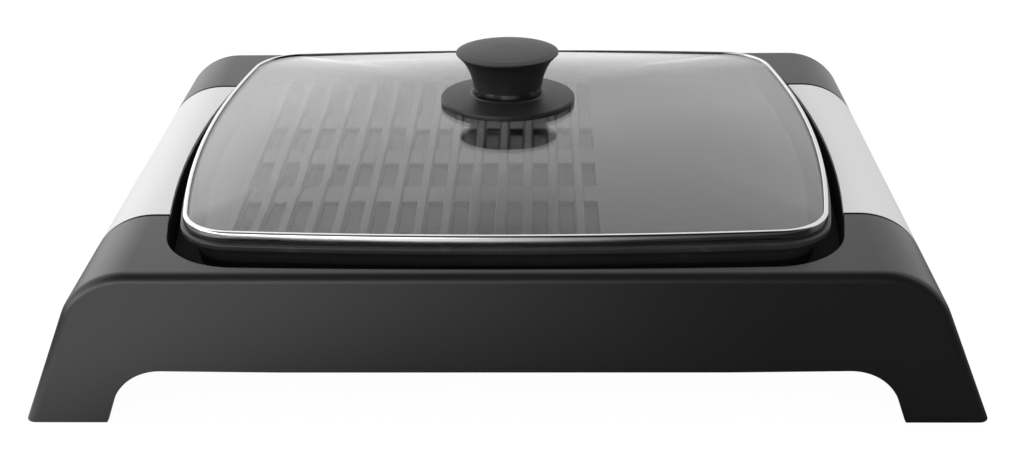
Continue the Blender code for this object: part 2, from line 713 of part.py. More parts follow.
def foot_recess(side, end):
    x, y = foot_place()
    half_x, half_y = FOOT_PAD_WIDTH / 2 + GAP, FOOT_PAD_DEPTH / 2 + GAP
    low = (side * x - half_x, end * y - half_y, -OVERRUN)
    return box(f"foot_recess_{side}_{end}", low, (side * x + half_x, end * y + half_y, FOOT_PAD_HEIGHT + GAP))


def foot_pad(name, side, end):
    """A rubber pad pressed into the leg's block, standing a little below it."""
    x, y = foot_place()
    half_x, half_y = FOOT_PAD_WIDTH / 2, FOOT_PAD_DEPTH / 2
    low = (side * x - half_x, end * y - half_y, 0)
    pad = box(name, low, (side * x + half_x, end * y + half_y, FOOT_PAD_HEIGHT), RUBBER)
    grid = bmesh.new()
    grid.from_mesh(pad.data)
    upright = [e for e in grid.edges if abs(e.verts[0].co.z - e.verts[1].co.z) > FOOT_PAD_HEIGHT / 2]
    bmesh.ops.bevel(grid, geom=upright, offset=FOOT_PAD_ROUND, segments=3, profile=0.5, affect="EDGES")
    grid.to_mesh(pad.data)
    grid.free()
    return pad


def side_panel(name, side):
    """A silver strip over the shoulder, trimmed to the opening, with two bosses that reach into the body."""
    panel = band(name, 0, PANEL_THICKNESS, PANEL_BOTTOM, PANEL_LENGTH, side, SILVER_PLASTIC)
    low_z, high_z = BODY_HEIGHT - 2 * PANEL_BED, BODY_HEIGHT + OVERRUN
    cut(panel, slab(name + "_trim", opening_outline.points(), low_z, high_z))
    for end in (-1, 1):
        point, inwards = panel_boss_frame(side, end)
        start = point + inwards * PANEL_THICKNESS / 2
        tip = point + inwards * (PANEL_BED + WALL - GAP)
        join(panel, rod(f"{name}_boss_{end}", PANEL_BOSS_RADIUS, start, tip))
        start, stop = tip + inwards * OVERRUN, tip - inwards * PANEL_PILOT_DEPTH
        cut(panel, rod(f"{name}_pilot_{end}", SCREW_RADIUS + GAP / 2, start, stop))
    return panel


def screw(name, place, direction, length=SCREW_LENGTH, head=SCREW_HEAD_RADIUS):
    """A pan-head screw. Place is under its head, and direction points from its head to its tip."""
    profile = [
        (0, length), (SCREW_RADIUS, length), (SCREW_RADIUS, 0), (head, 0), (head, -SCREW_HEAD / 2),
        (head / 2, -SCREW_HEAD), (0, -SCREW_HEAD),
    ]
    return turned(name, profile, PLATED_STEEL, place, direction, steps=SMALL_STEPS)


def bottom_cover():
    """A flat cover screwed under the floor flange, with vents, and the rails that the drip tray runs on."""
    half_x, half_y = COVER_WIDTH / 2, COVER_DEPTH / 2
    cover = box("bottom_cover", (-half_x, -half_y, ARCH_HEIGHT), (half_x, half_y, COVER_TOP), BLACK_PLASTIC)
    reach = half_y - FLANGE_DEPTH - RAIL_END_GAP
    for side in (-1, 1):
        edge = TRAY_X + side * TRAY_WIDTH / 2
        wall_in, wall_out = edge + side * 2 * GAP, edge + side * (2 * GAP + RAIL_WALL)
        shelf_in = edge - side * RAIL_SHELF
        shelf_x, wall_x = sorted((shelf_in, wall_out)), sorted((wall_in, wall_out))
        low_z = COVER_TOP - BITE
        shelf = box(f"rail_shelf_{side}", (shelf_x[0], -reach, low_z), (shelf_x[1], reach, TRAY_BOTTOM - GAP))
        high_z = COVER_TOP + RAIL_HEIGHT
        wall = box(f"rail_wall_{side}", (wall_x[0], -reach, low_z), (wall_x[1], reach, high_z))
        join(cover, shelf, wall)
    stop_y = -BODY_DEPTH / 2 + TRAY_FRONT_INSET - GAP
    stop_x = TRAY_WIDTH / 2 + 2 * GAP + RAIL_WALL / 2
    low = (TRAY_X - stop_x, stop_y - RAIL_WALL, COVER_TOP - BITE)
    join(cover, box("tray_stop", low, (TRAY_X + stop_x, stop_y, COVER_TOP + RAIL_HEIGHT)))
    for i in range(VENT_COUNT):
        x = VENT_START_X + i * VENT_PITCH
        low = (x - VENT_WIDTH / 2, -VENT_LENGTH / 2, ARCH_HEIGHT - OVERRUN)
        cut(cover, box(f"vent_{i}", low, (x + VENT_WIDTH / 2, VENT_LENGTH / 2, COVER_TOP + OVERRUN)))
    for i, (x, y) in enumerate(cover_screw_places()):
        low, high = (x, y, ARCH_HEIGHT - OVERRUN), (x, y, COVER_TOP + OVERRUN)
        cut(cover, rod(f"cover_hole_{i}", SCREW_RADIUS + GAP, low, high))
    return cover


def heat_reflector():
    """A shallow sheet pan hung under the shelf by its flange."""
    lean = PAN_WALL_INSET + PAN_WALL_LEAN
    rings = [
        lid_outline.ring(-lean - PAN_SHEET / 2, PAN_BOTTOM),
        lid_outline.ring(-PAN_WALL_INSET - PAN_SHEET / 2, PAN_TOP - PAN_SHEET),
        lid_outline.ring(-PAN_FLANGE_INSET, PAN_TOP - PAN_SHEET),
        lid_outline.ring(-PAN_FLANGE_INSET, PAN_TOP),
        lid_outline.ring(-PAN_WALL_INSET, PAN_TOP),
        lid_outline.ring(-lean, PAN_FLOOR_TOP),
    ]
    pan = loft("heat_reflector", rings, PLATED_STEEL)
    top, bottom = PAN_FLOOR_TOP + OVERRUN, PAN_BOTTOM - OVERRUN
    cut(pan, rod("pan_drain", PAN_DRAIN_RADIUS, (TRAY_X, DRAIN_Y, bottom), (TRAY_X, DRAIN_Y, top)))
    for i, (x, y) in enumerate(pan_screw_places()):
        low, high = PAN_TOP - PAN_SHEET - OVERRUN, PAN_TOP + OVERRUN
        cut(pan, rod(f"pan_hole_{i}", SCREW_RADIUS + GAP, (x, y, low), (x, y, high)))
    return pan


def inlet_shroud():
    """A sleeve round the plug's way in, held by its flange between the well and the back wall."""
    start, end = OPENING_DEPTH / 2, BODY_DEPTH / 2
    sleeve = inlet_box("inlet_shroud", 0, start, end)
    sleeve.data.materials.append(BLACK_PLASTIC)
    flange_end = BODY_DEPTH / 2 - WALL - GAP
    flange = inlet_box("inlet_flange", INLET_FLANGE, flange_end - INLET_FLANGE_THICKNESS, flange_end)
    join(sleeve, flange)
    cut(sleeve, inlet_box("inlet_way", -INLET_WALL, start - OVERRUN, end + OVERRUN))
    return sleeve


def plate_seat(name, side, end):
    y = end * SEAT_SPACING / 2
    x = side * lid_outline.side_x(y, -SEAT_INSET)
    top = PLATE_UNDERSIDE - GAP
    return rod(name, SEAT_RADIUS, (x, y, top - SEAT_HEIGHT), (x, y, top), SILICONE, 2 * SMALL_STEPS)


def drip_tray():
    """A shallow drawer that slides out at the back, with a finger notch in its panel."""
    rear = BODY_DEPTH / 2
    front = -BODY_DEPTH / 2 + TRAY_FRONT_INSET
    inner = rear - WALL - GAP
    half = TRAY_WIDTH / 2
    tray = tray_box("drip_tray", 0, front, inner + BITE, TRAY_BOTTOM, TRAY_TOP, half)
    tray.data.materials.append(BLACK_PLASTIC)
    join(tray, tray_box("tray_panel", 0, inner, rear, TRAY_BOTTOM, TRAY_TOP + GAP, TRAY_PANEL_HALF))
    from_y, to_y = front + TRAY_WALL, inner - TRAY_WALL / 2
    low_z, high_z = TRAY_BOTTOM + TRAY_WALL, TRAY_TOP + OVERRUN
    hollow = tray_box("tray_hollow", -TRAY_WALL, from_y, to_y, low_z, high_z, half)
    notch_z = TRAY_TOP + TRAY_NOTCH_RADIUS - TRAY_NOTCH_DEPTH
    notch = rod("tray_notch", TRAY_NOTCH_RADIUS, (TRAY_X, inner - TRAY_WALL - OVERRUN, notch_z),
                (TRAY_X, rear + OVERRUN, notch_z), steps=2 * SMALL_STEPS)
    return cut(tray, hollow, notch)


def rib_places():
    """x of each rib, from the flat half to the left wall."""
    places = []
    x = RIB_START_X
    while lid_outline.half_depth(x, rib_offset()) > POCKET_PITCH:
        places.append(x)
        x -= RIB_PITCH
    return places


def floor_offset():
    """The foot of the plate's inner wall, from the lid outline."""
    return PLATE_OVERHANG - PLATE_RIM_WIDTH - PLATE_DRAFT


def rib_offset():
    return floor_offset() - RIB_END_CLEARANCE


def rib(x):
    """A ridge with leaning sides, along the plate's depth."""
    half = lid_outline.half_depth(x, rib_offset())
    top, foot = RIB_WIDTH / 2, RIB_FOOT_WIDTH / 2
    crest = COOKING_LEVEL + RIB_HEIGHT
    outline = [
        (x - foot, COOKING_LEVEL - BITE), (x + foot, COOKING_LEVEL - BITE), (x + foot, COOKING_LEVEL),
        (x + top, crest), (x - top, crest), (x - foot, COOKING_LEVEL),
    ]
    return slab("rib", outline, -half, half, "XZ")


def pocket_rows():
    """(start, end) of each row along the depth. The two outer rows run on to the ribs' ends."""
    inner = POCKET_LENGTH / 2
    middle = POCKET_PITCH / 2
    outer = POCKET_PITCH + middle - inner
    near, far = middle - inner, middle + inner
    return [(-far, -near), (near, far), (None, -outer), (outer, None)]


def grill_plate():
    """A coated casting: rim, basin, ribs and pockets on the left, flat on the right, drain at the front."""
    rim_bottom = RIM_TOP_OF_PLATE - PLATE_RIM_THICKNESS
    rings = [
        lid_outline.ring(-PLATE_SKIRT_INSET - PLATE_SKIRT_DRAFT, PLATE_UNDERSIDE),
        lid_outline.ring(-PLATE_SKIRT_INSET, rim_bottom),
        lid_outline.ring(PLATE_OVERHANG - PLATE_EDGE, rim_bottom),
        lid_outline.ring(PLATE_OVERHANG, rim_bottom + PLATE_EDGE),
        lid_outline.ring(PLATE_OVERHANG, RIM_TOP_OF_PLATE - PLATE_EDGE),
        lid_outline.ring(PLATE_OVERHANG - PLATE_EDGE, RIM_TOP_OF_PLATE),
        lid_outline.ring(PLATE_OVERHANG - PLATE_RIM_WIDTH, RIM_TOP_OF_PLATE),
        lid_outline.ring(floor_offset(), COOKING_LEVEL),
    ]
    plate = loft("grill_plate", rings, COATED_CAST)
    spout_end = PLATE_UNDERSIDE - SPOUT_LENGTH
    spout_start = PLATE_UNDERSIDE + BITE
    join(plate, rod("spout", SPOUT_RADIUS, (TRAY_X, DRAIN_Y, spout_end), (TRAY_X, DRAIN_Y, spout_start)))
    places = rib_places()
    for x in places:
        join(plate, rib(x))
    columns = [x + RIB_PITCH / 2 for x in places[1:]] + [(RIB_START_X + FLAT_START_X) / 2]
    floor = COOKING_LEVEL - POCKET_DEPTH
    for x in columns:
        half = lid_outline.half_depth(max(abs(x) + POCKET_WIDTH / 2, 0), rib_offset())
        for start, end in pocket_rows():
            low_y = -half if start is None else start
            high_y = half if end is None else end
            if high_y - low_y < POCKET_WIDTH:
                continue
            low = (x - POCKET_WIDTH / 2, low_y, floor)
            cut(plate, box("pocket", low, (x + POCKET_WIDTH / 2, high_y, COOKING_LEVEL + OVERRUN)))
    top = COOKING_LEVEL + OVERRUN
    cut(plate, rod("drain", DRAIN_RADIUS, (TRAY_X, DRAIN_Y, spout_end - OVERRUN), (TRAY_X, DRAIN_Y, top)))
    for i, (x, y) in enumerate(clip_screw_places() + guard_screw_places()):
        low, high = (x, y, PLATE_UNDERSIDE - OVERRUN), (x, y, PLATE_UNDERSIDE + PILOT_DEPTH)
        cut(plate, rod(f"plate_pilot_{i}", SCREW_RADIUS + GAP / 2, low, high))
    return plate


def rounded_path(corners, steps):
    """A line through corners given as (x, y, bend radius), with an arc at each bend."""
    points = [Vector(corners[0][:2])]
    for before, here, after in zip(corners, corners[1:], corners[2:]):
        corner = Vector(here[:2])
        back = (Vector(before[:2]) - corner).normalized()
        ahead = (Vector(after[:2]) - corner).normalized()
        half_angle = back.angle(ahead) / 2
        reach = here[2] / math.tan(half_angle)
        centre = corner + (back + ahead).normalized() * here[2] / math.sin(half_angle)
        start, end = corner + back * reach - centre, corner + ahead * reach - centre
        turn = start.angle_signed(end)
        for i in range(steps + 1):
            points.append(centre + Matrix.Rotation(-turn * i / steps, 2) @ start)
    points.append(Vector(corners[-1][:2]))
    return points


def well_back():
    """y of the well's back wall, where it comes nearest to the terminals."""
    return opening_outline.end_y(abs(INLET_X) + GUARD_WIDTH / 2 + GUARD_EAR, 0)


def element_frame():
    """Half width and half depth of the loop, and y of the sheath's ends."""
    half_x = LID_WIDTH / 2 - ELEMENT_SIDE_INSET
    half_y = LID_DEPTH / 2 - ELEMENT_END_INSET
    return half_x, half_y, LID_DEPTH / 2 - TERMINAL_END_INSET


def terminal_places():
    return [INLET_X - TERMINAL_PITCH / 2, INLET_X + TERMINAL_PITCH / 2]


def heating_element():
    """A sheathed tube bent into a loop under the plate, with both ends brought out at the back."""
    half_x, half_y, end_y = element_frame()
    left, right = terminal_places()
    jog = left + half_x
    corners = [
        (left, end_y, 0),
        (left, half_y + ELEMENT_JOG_BEND / 2, ELEMENT_JOG_BEND),
        (-half_x, half_y + ELEMENT_JOG_BEND / 2 - jog, ELEMENT_JOG_BEND),
        (-half_x, -half_y, ELEMENT_BEND),
        (half_x, -half_y, ELEMENT_BEND),
        (half_x, half_y, ELEMENT_BEND),
        (right, half_y, ELEMENT_JOG_BEND),
        (right, end_y, 0),
    ]
    curve = bpy.data.curves.new("heating_element", "CURVE")
    curve.dimensions = "3D"
    curve.bevel_depth = ELEMENT_RADIUS
    curve.bevel_resolution = ELEMENT_SIDES
    curve.use_fill_caps = True
    route = rounded_path(corners, ELEMENT_BEND_STEPS)
    line = curve.splines.new("POLY")
    line.points.add(len(route) - 1)
    for point, (x, y) in zip(line.points, route):
        point.co = (x, y, ELEMENT_LEVEL, 1)
    tube = bpy.data.objects.new("heating_element", curve)
    parts.objects.link(tube)
    curve.materials.append(SHEATH_STEEL)
    return tube


def clip_places():
    """(x, y, run along) of each clip: two on the front run, one on the right run."""
    half_x, half_y, _ = element_frame()
    return [(-CLIP_PLACE_X, -half_y, "X"), (CLIP_PLACE_X, -half_y, "X"), (half_x, 0, "Y")]


def clip_screw_places():
    """The ears point to the middle of the plate."""
    reach = ELEMENT_RADIUS + GAP + CLIP_SHEET + CLIP_EAR / 2
    return [(x, y + reach) if run == "X" else (x - reach, y) for x, y, run in clip_places()]


def element_clip(name, x, y, run):
    """A strip bent under the element, with one ear flat against the plate."""
    inner = ELEMENT_RADIUS + GAP
    outer = inner + CLIP_SHEET
    top = PLATE_UNDERSIDE - GAP
    ear_bottom = top - CLIP_SHEET
    outline = (
        [(-outer, top), (-inner, top)]
        + arc((0, ELEMENT_LEVEL), inner, math.radians(180), math.radians(360), 2 * ARC_STEPS)
        + [(inner, top), (outer + CLIP_EAR, top), (outer + CLIP_EAR, ear_bottom), (outer, ear_bottom)]
        + arc((0, ELEMENT_LEVEL), outer, math.radians(360), math.radians(180), 2 * ARC_STEPS)
    )
    half = CLIP_WIDTH / 2
    if run == "X":
        clip = slab(name, [(y + across, z) for across, z in outline], x - half, x + half, "YZ", PLATED_STEEL)
        place = (x, y + outer + CLIP_EAR / 2)
    else:
        clip = slab(name, [(x - across, z) for across, z in outline], y - half, y + half, "XZ", PLATED_STEEL)
        place = (x - outer - CLIP_EAR / 2, y)
    hole = rod(name + "_hole", SCREW_RADIUS + GAP, (*place, ear_bottom - OVERRUN), (*place, top + OVERRUN))
    return cut(clip, hole)


def guard_screw_places():
    x = GUARD_WIDTH / 2 + GUARD_EAR / 2
    y = well_back() - PIN_END_CLEARANCE - GUARD_LENGTH + GUARD_EAR / 2
    return [(INLET_X - x, y), (INLET_X + x, y)]


def terminal_guard():
    """A bent sheet round the terminals, screwed to the plate's underside by its two ears."""
    top = PLATE_UNDERSIDE - GAP
    half = GUARD_WIDTH / 2
    outer = half + GUARD_EAR
    low = top - GUARD_DROP
    right = [
        (outer, top), (outer, top - GUARD_SHEET), (half, top - GUARD_SHEET), (half, low),
    ]
    inner = half - GUARD_SHEET
    left_in = [(-inner, top), (-inner, low + GUARD_SHEET), (inner, low + GUARD_SHEET), (inner, top)]
    outline = left_in + right + [(-x, z) for x, z in reversed(right)]
    end = well_back() - PIN_END_CLEARANCE
    points = [(INLET_X + x, z) for x, z in outline]
    guard = slab("terminal_guard", points, end - GUARD_LENGTH, end, "XZ", PLATED_STEEL)
    for i, (x, y) in enumerate(guard_screw_places()):
        low, high = (x, y, top - GUARD_SHEET - OVERRUN), (x, y, top + OVERRUN)
        cut(guard, rod(f"guard_hole_{i}", SCREW_RADIUS + GAP, low, high))
    return guard


def terminal(side, x):
    """A contact pin and the ceramic bush that carries it at the end of the sheath."""
    end_y = element_frame()[2]
    start = end_y + GAP
    ring = [
        (BUSH_BORE, BUSH_LENGTH), (ELEMENT_RADIUS, BUSH_LENGTH), (ELEMENT_RADIUS, 0), (BUSH_BORE, 0),
        (BUSH_BORE, BUSH_LENGTH),
    ]
    bush = turned(f"ceramic_bush_{side}", ring, CERAMIC, (x, start, ELEMENT_LEVEL), (0, 1, 0))
    length = well_back() - PIN_END_CLEARANCE - start
    tip = PIN_RADIUS / 2
    profile = [(0, length), (tip, length), (PIN_RADIUS, length - tip), (PIN_RADIUS, 0), (0, 0)]
    pin = turned(f"terminal_pin_{side}", profile, PLATED_STEEL, (x, start, ELEMENT_LEVEL), (0, 1, 0))
    return [bush, pin]


def probe_socket():
    """The tube under the plate that a thermostat's probe slides into."""
    end = well_back() - 2 * PIN_END_CLEARANCE
    wall = ELEMENT_RADIUS
    start_wall = wall / 2
    profile = [
        (SOCKET_BORE, SOCKET_LENGTH), (wall, SOCKET_LENGTH), (wall, 0), (0, 0), (0, start_wall),
        (SOCKET_BORE, start_wall), (SOCKET_BORE, SOCKET_LENGTH),
    ]
    place = (INLET_X, end - SOCKET_LENGTH, ELEMENT_LEVEL)
    return turned("probe_socket", profile, PLATED_STEEL, place, (0, 1, 0))


def lid_rim():
    """A polished channel folded round the edge of the glass."""
    low, high = LID_BOTTOM, LID_TOP
    section = [
        (0, low), (0, high - RIM_ROUND), (-RIM_ROUND, high), (-RIM_FOLD, high),
        (-RIM_FOLD, high - RIM_SHEET), (-RIM_SHEET, high - RIM_SHEET),
        (-RIM_SHEET, low + RIM_SHEET), (-RIM_FOLD, low + RIM_SHEET), (-RIM_FOLD, low),
    ]
    return loft("lid_rim", [lid_outline.ring(offset, z) for offset, z in section], STEEL, closed=True)


def dome_height(share):
    """Height of the glass's upper face where the outline is drawn in to this share of its size."""
    return GLASS_EDGE_TOP + GLASS_RISE * (1 - share**GLASS_POWER)


def lid_glass():
    """A dome of even thickness with a flat land at its edge and a hole for the knob's screw."""
    land = lid_outline.points(-GLASS_EDGE_INSET - GLASS_LAND)
    upper = [lid_outline.ring(-GLASS_EDGE_INSET, GLASS_EDGE_TOP)]
    for share in GLASS_RING_SHARES:
        upper.append([(x * share, y * share, dome_height(share)) for x, y in land])
    hole = []
    for x, y in land:
        length = math.hypot(x, y)
        hole.append((x / length * GLASS_HOLE, y / length * GLASS_HOLE, GLASS_TOP))
    upper.append(hole)
    lower = [[(x, y, z - GLASS_THICKNESS) for x, y, z in ring] for ring in reversed(upper)]
    return loft("lid_glass", upper + lower, GLASS, closed=True)


KNOB_BASE_BOTTOM = GLASS_TOP + GAP
KNOB_COLLAR_TOP = KNOB_BASE_BOTTOM + KNOB_FLANGE_THICKNESS + KNOB_COLLAR_HEIGHT
KNOB_RING_BOTTOM = KNOB_COLLAR_TOP + GAP
KNOB_CAP_BOTTOM = KNOB_RING_BOTTOM + KNOB_RING_HEIGHT + GAP
GASKET_TOP = GLASS_TOP - GLASS_THICKNESS - GAP
WASHER_TOP = GASKET_TOP - GASKET_THICKNESS - GAP
KNOB_SCREW_SEAT = WASHER_TOP - WASHER_THICKNESS - GAP


def knob():
    """A base flange with a collar, a spacer ring, and a waisted cap, drawn together by one screw."""
    flange = KNOB_FLANGE_THICKNESS
    top = flange + KNOB_COLLAR_HEIGHT
    base = [
        (KNOB_BORE, top), (KNOB_COLLAR_RADIUS, top), (KNOB_COLLAR_RADIUS, flange),
        (KNOB_FLANGE_RADIUS - GAP, flange), (KNOB_FLANGE_RADIUS, flange - GAP), (KNOB_FLANGE_RADIUS, 0),
        (KNOB_BORE, 0), (KNOB_BORE, top),
    ]
    turned("knob_base", base, BLACK_PLASTIC, (0, 0, KNOB_BASE_BOTTOM), steps=ROUND_STEPS)
    high = KNOB_RING_HEIGHT
    ring = [
        (KNOB_RING_BORE, high), (KNOB_RING_RADIUS, high), (KNOB_RING_RADIUS, 0), (KNOB_RING_BORE, 0),
        (KNOB_RING_BORE, high),
    ]
    turned("knob_ring", ring, PLATED_STEEL, (0, 0, KNOB_RING_BOTTOM), steps=ROUND_STEPS)
    skin = [(KNOB_CAP_RADIUS * radius, KNOB_CAP_HEIGHT * height) for radius, height in CAP_SHARES]
    cap = (
        [(0, KNOB_CAP_HEIGHT)] + skin + [(KNOB_NECK_RADIUS, 0), (KNOB_PILOT_RADIUS, 0)]
        + [(KNOB_PILOT_RADIUS, KNOB_PILOT_DEPTH), (0, KNOB_PILOT_DEPTH)]
    )
    turned("knob_cap", cap, BLACK_PLASTIC, (0, 0, KNOB_CAP_BOTTOM), steps=ROUND_STEPS)


def washer(name, radius, bore, thickness, top, look):
    profile = [(bore, thickness), (radius, thickness), (radius, 0), (bore, 0), (bore, thickness)]
    return turned(name, profile, look, (0, 0, top - thickness), steps=2 * SMALL_STEPS)


def knob_screw():
    length = KNOB_CAP_BOTTOM + KNOB_SCREW_GRIP - KNOB_SCREW_SEAT
    head = KNOB_SCREW_HEAD_RADIUS
    profile = [
        (0, length), (KNOB_SCREW_RADIUS, length), (KNOB_SCREW_RADIUS, 0), (head, 0),
        (head, -KNOB_SCREW_HEAD / 2), (head / 2, -KNOB_SCREW_HEAD), (0, -KNOB_SCREW_HEAD),
    ]
    return turned("knob_screw", profile, PLATED_STEEL, (0, 0, KNOB_SCREW_SEAT))


def slide_group(name, height):
    """An empty on a slide's axis. What is made while it is open moves with it."""
    group = bpy.data.objects.new(name, None)
    parts.objects.link(group)
    group.location = (0, 0, height)
    group.empty_display_size = WALL
    return group


def gather(group, before):
    """Parents every part made since before to the group, where it stands."""
    bpy.context.view_layer.update()
    for piece in parts.objects:
        if piece.name not in before and piece is not group and piece.parent is None:
            piece.parent = group
            piece.matrix_parent_inverse = group.matrix_world.inverted()


def names_so_far():
    return {piece.name for piece in parts.objects}


SIDES = (("left", -1), ("right", 1))
ENDS = (("front", -1), ("back", 1))

shade(base_housing())
for side_name, side in SIDES:
    shade(side_panel(f"side_panel_{side_name}", side))
    for end_name, end in ENDS:
        foot_pad(f"foot_pad_{end_name}_{side_name}", side, end)
        plate_seat(f"plate_seat_{end_name}_{side_name}", side, end)
        point, inwards = panel_boss_frame(side, end)
        seat = point + inwards * (PANEL_BED + WALL + GAP)
        screw(f"panel_screw_{end_name}_{side_name}", seat, -inwards, PANEL_SCREW_LENGTH, PANEL_SCREW_HEAD)
bottom_cover()
for i, (x, y) in enumerate(cover_screw_places()):
    screw(f"cover_screw_{i + 1}", (x, y, ARCH_HEIGHT - GAP), (0, 0, 1), COVER_SCREW_LENGTH)
heat_reflector()
for i, (x, y) in enumerate(pan_screw_places()):
    screw(f"reflector_screw_{i + 1}", (x, y, PAN_TOP - PAN_SHEET - GAP), (0, 0, 1))
inlet_shroud()

before_tray = names_so_far()
drip_tray()
gather(slide_group("tray_slide", TRAY_BOTTOM), before_tray)

before_plate = names_so_far()
grill_plate()
heating_element()
for i, (x, y, run) in enumerate(clip_places()):
    element_clip(f"element_clip_{i + 1}", x, y, run)
for i, (x, y) in enumerate(clip_screw_places()):
    screw(f"clip_screw_{i + 1}", (x, y, PLATE_UNDERSIDE - 2 * GAP - CLIP_SHEET), (0, 0, 1))
for i, (x, y) in enumerate(guard_screw_places()):
    screw(f"guard_screw_{i + 1}", (x, y, PLATE_UNDERSIDE - 2 * GAP - GUARD_SHEET), (0, 0, 1))
terminal_guard()
for side_name, x in zip(("left", "right"), terminal_places()):
    terminal(side_name, x)
probe_socket()
gather(slide_group("plate_lift", PLATE_UNDERSIDE), before_plate)

before_lid = names_so_far()
lid_rim()
lid_glass()
knob()
washer("knob_gasket", GASKET_RADIUS, KNOB_BORE, GASKET_THICKNESS, GASKET_TOP, SILICONE)
washer("knob_washer", WASHER_RADIUS, KNOB_BORE, WASHER_THICKNESS, WASHER_TOP, PLATED_STEEL)
knob_screw()
gather(slide_group("lid_lift", LID_BOTTOM), before_lid)
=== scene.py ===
import math

import bmesh
import bpy
from mathutils import Matrix, Vector


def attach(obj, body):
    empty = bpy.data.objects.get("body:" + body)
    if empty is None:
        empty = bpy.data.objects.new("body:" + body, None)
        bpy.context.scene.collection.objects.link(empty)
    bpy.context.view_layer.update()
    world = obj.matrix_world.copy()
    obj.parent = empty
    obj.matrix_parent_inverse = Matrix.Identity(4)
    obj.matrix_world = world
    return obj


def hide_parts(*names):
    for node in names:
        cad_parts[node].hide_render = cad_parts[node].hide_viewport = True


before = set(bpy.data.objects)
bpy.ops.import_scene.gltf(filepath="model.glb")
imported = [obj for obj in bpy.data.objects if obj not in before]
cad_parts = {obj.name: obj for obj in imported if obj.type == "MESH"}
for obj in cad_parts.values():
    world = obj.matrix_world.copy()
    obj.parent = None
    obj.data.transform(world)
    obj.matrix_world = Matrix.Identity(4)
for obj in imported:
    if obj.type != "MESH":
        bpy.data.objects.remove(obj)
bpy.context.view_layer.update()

# Camera: it stands a little right of the middle and looks down on the front at about 27 degrees,
# where the photographer stood.
camera_data = bpy.data.cameras.new("camera")
camera_data.sensor_width = 36.0
camera_data.lens = 52.10
camera = bpy.data.objects.new("camera", camera_data)
bpy.context.scene.collection.objects.link(camera)
camera_place = (0.0181, -0.7699, 0.4135)
camera_pitch, camera_yaw, camera_roll = math.radians(26.564), math.radians(-1.299), math.radians(-0.704)
ahead = Vector((
    math.sin(camera_yaw) * math.cos(camera_pitch), math.cos(camera_yaw) * math.cos(camera_pitch),
    -math.sin(camera_pitch),
))
level_right = Vector((math.cos(camera_yaw), -math.sin(camera_yaw), 0))
level_up = level_right.cross(ahead)
camera_right = math.cos(camera_roll) * level_right + math.sin(camera_roll) * level_up
camera_up = math.cos(camera_roll) * level_up - math.sin(camera_roll) * level_right
camera.matrix_world = Matrix.Translation(camera_place) @ Matrix(
    (camera_right, camera_up, -ahead)
).transposed().to_4x4()
bpy.context.scene.camera = camera

# Body: one black moulding in ABS, a bridge on four hollow legs with a well for the hot plate. Its skin is
# 2.5 mm thick, with rounded edges and a fine spark-eroded grain. At the front and back a thin lip edges the
# arch, and the legs' inner walls stand back behind it.
HALF_SPAN = 0.240
HALF_DEPTH = 0.156
DECK = 0.0835
LEG_BOTTOM = 0.0002
SIDE_LEAN = math.radians(23)
SHOULDER_RADIUS = 0.037
EDGE_RADIUS = 0.005
FOOT_EDGE_RADIUS = 0.0010
ARCH_EDGE_RADIUS = 0.0008
OPENING_EDGE_RADIUS = 0.0008
SHARP_ANGLE, ARCH_RIM_ANGLE = math.radians(60), math.radians(50)
ARCH_RIM_TOP = 0.035
SQUARE_ON, UPWARD = 0.95, 0.1   # least parts of a face's normal that count as such
SKIN = 0.0025
ARCH_FOOT_X, ARCH_HEIGHT, ARCH_RADIUS = 0.1985, 0.0304, 0.027
ARCH_BOW_X, ARCH_MIDDLE, ARCH_BOW = 0.110, 0.0294, 0.5
LIP, LIP_SET_BACK, LEG_HOLLOW_RADIUS = 0.003, 0.0035, 0.0155
SIDE_ARCH_FOOT_Y, SIDE_ARCH_HEIGHT, SIDE_ARCH_RADIUS = 0.114, 0.024, 0.018
ARCH_LEAN = math.radians(20)
PANEL_LENGTH = 0.1808
PANEL_THICKNESS = 0.0025
PANEL_BED = 0.0028
PANEL_BOTTOM = 0.0320
PANEL_START_X = 0.1671
PANEL_SEAM = 0.0016
PANEL_TAIL = 0.005      # how much further the panels reach at the back than at the front
SHELF_BOTTOM, SHELF_TOP = 0.0584, 0.0624
SHELF_INSET = 0.014
FLOOR_BOTTOM, FLOOR_TOP = 0.0333, 0.0358
SKIN_STEPS, ARCH_STEPS, HOLLOW_STEPS = 18, 14, 12
FIT = 0.0003            # clearance between pieces that fit together
PAST = 0.002            # how far a cutter runs past what it cuts
WELD = 0.000002         # points closer than this become one

# The directions across, up and towards the viewer of each sheet that outlines are drawn on.
SHEETS = {
    "XZ": (Vector((1, 0, 0)), Vector((0, 0, 1)), Vector((0, -1, 0))),
    "YZ": (Vector((0, 1, 0)), Vector((0, 0, 1)), Vector((1, 0, 0))),
    "XY": (Vector((1, 0, 0)), Vector((0, 1, 0)), Vector((0, 0, 1))),
}


def take_up(piece, mode="OBJECT"):
    """Makes a piece the only one selected, in object or edit mode."""
    if bpy.context.object and bpy.context.object.mode != "OBJECT":
        bpy.ops.object.mode_set(mode="OBJECT")
    bpy.ops.object.select_all(action="DESELECT")
    piece.select_set(True)
    bpy.context.view_layer.objects.active = piece
    bpy.ops.object.mode_set(mode=mode)


def put_down():
    bpy.ops.object.mode_set(mode="OBJECT")


def start_piece(name, place):
    """A new piece of a single point, left in edit mode to be drawn on from there."""
    bpy.ops.object.select_all(action="DESELECT")
    bpy.ops.mesh.primitive_plane_add(size=0.01)
    piece = bpy.context.object
    piece.name = piece.data.name = name
    bpy.ops.object.mode_set(mode="EDIT")
    bpy.ops.mesh.select_mode(type="VERT")
    bpy.ops.mesh.merge(type="CENTER")
    bpy.ops.transform.translate(value=place)
    return piece


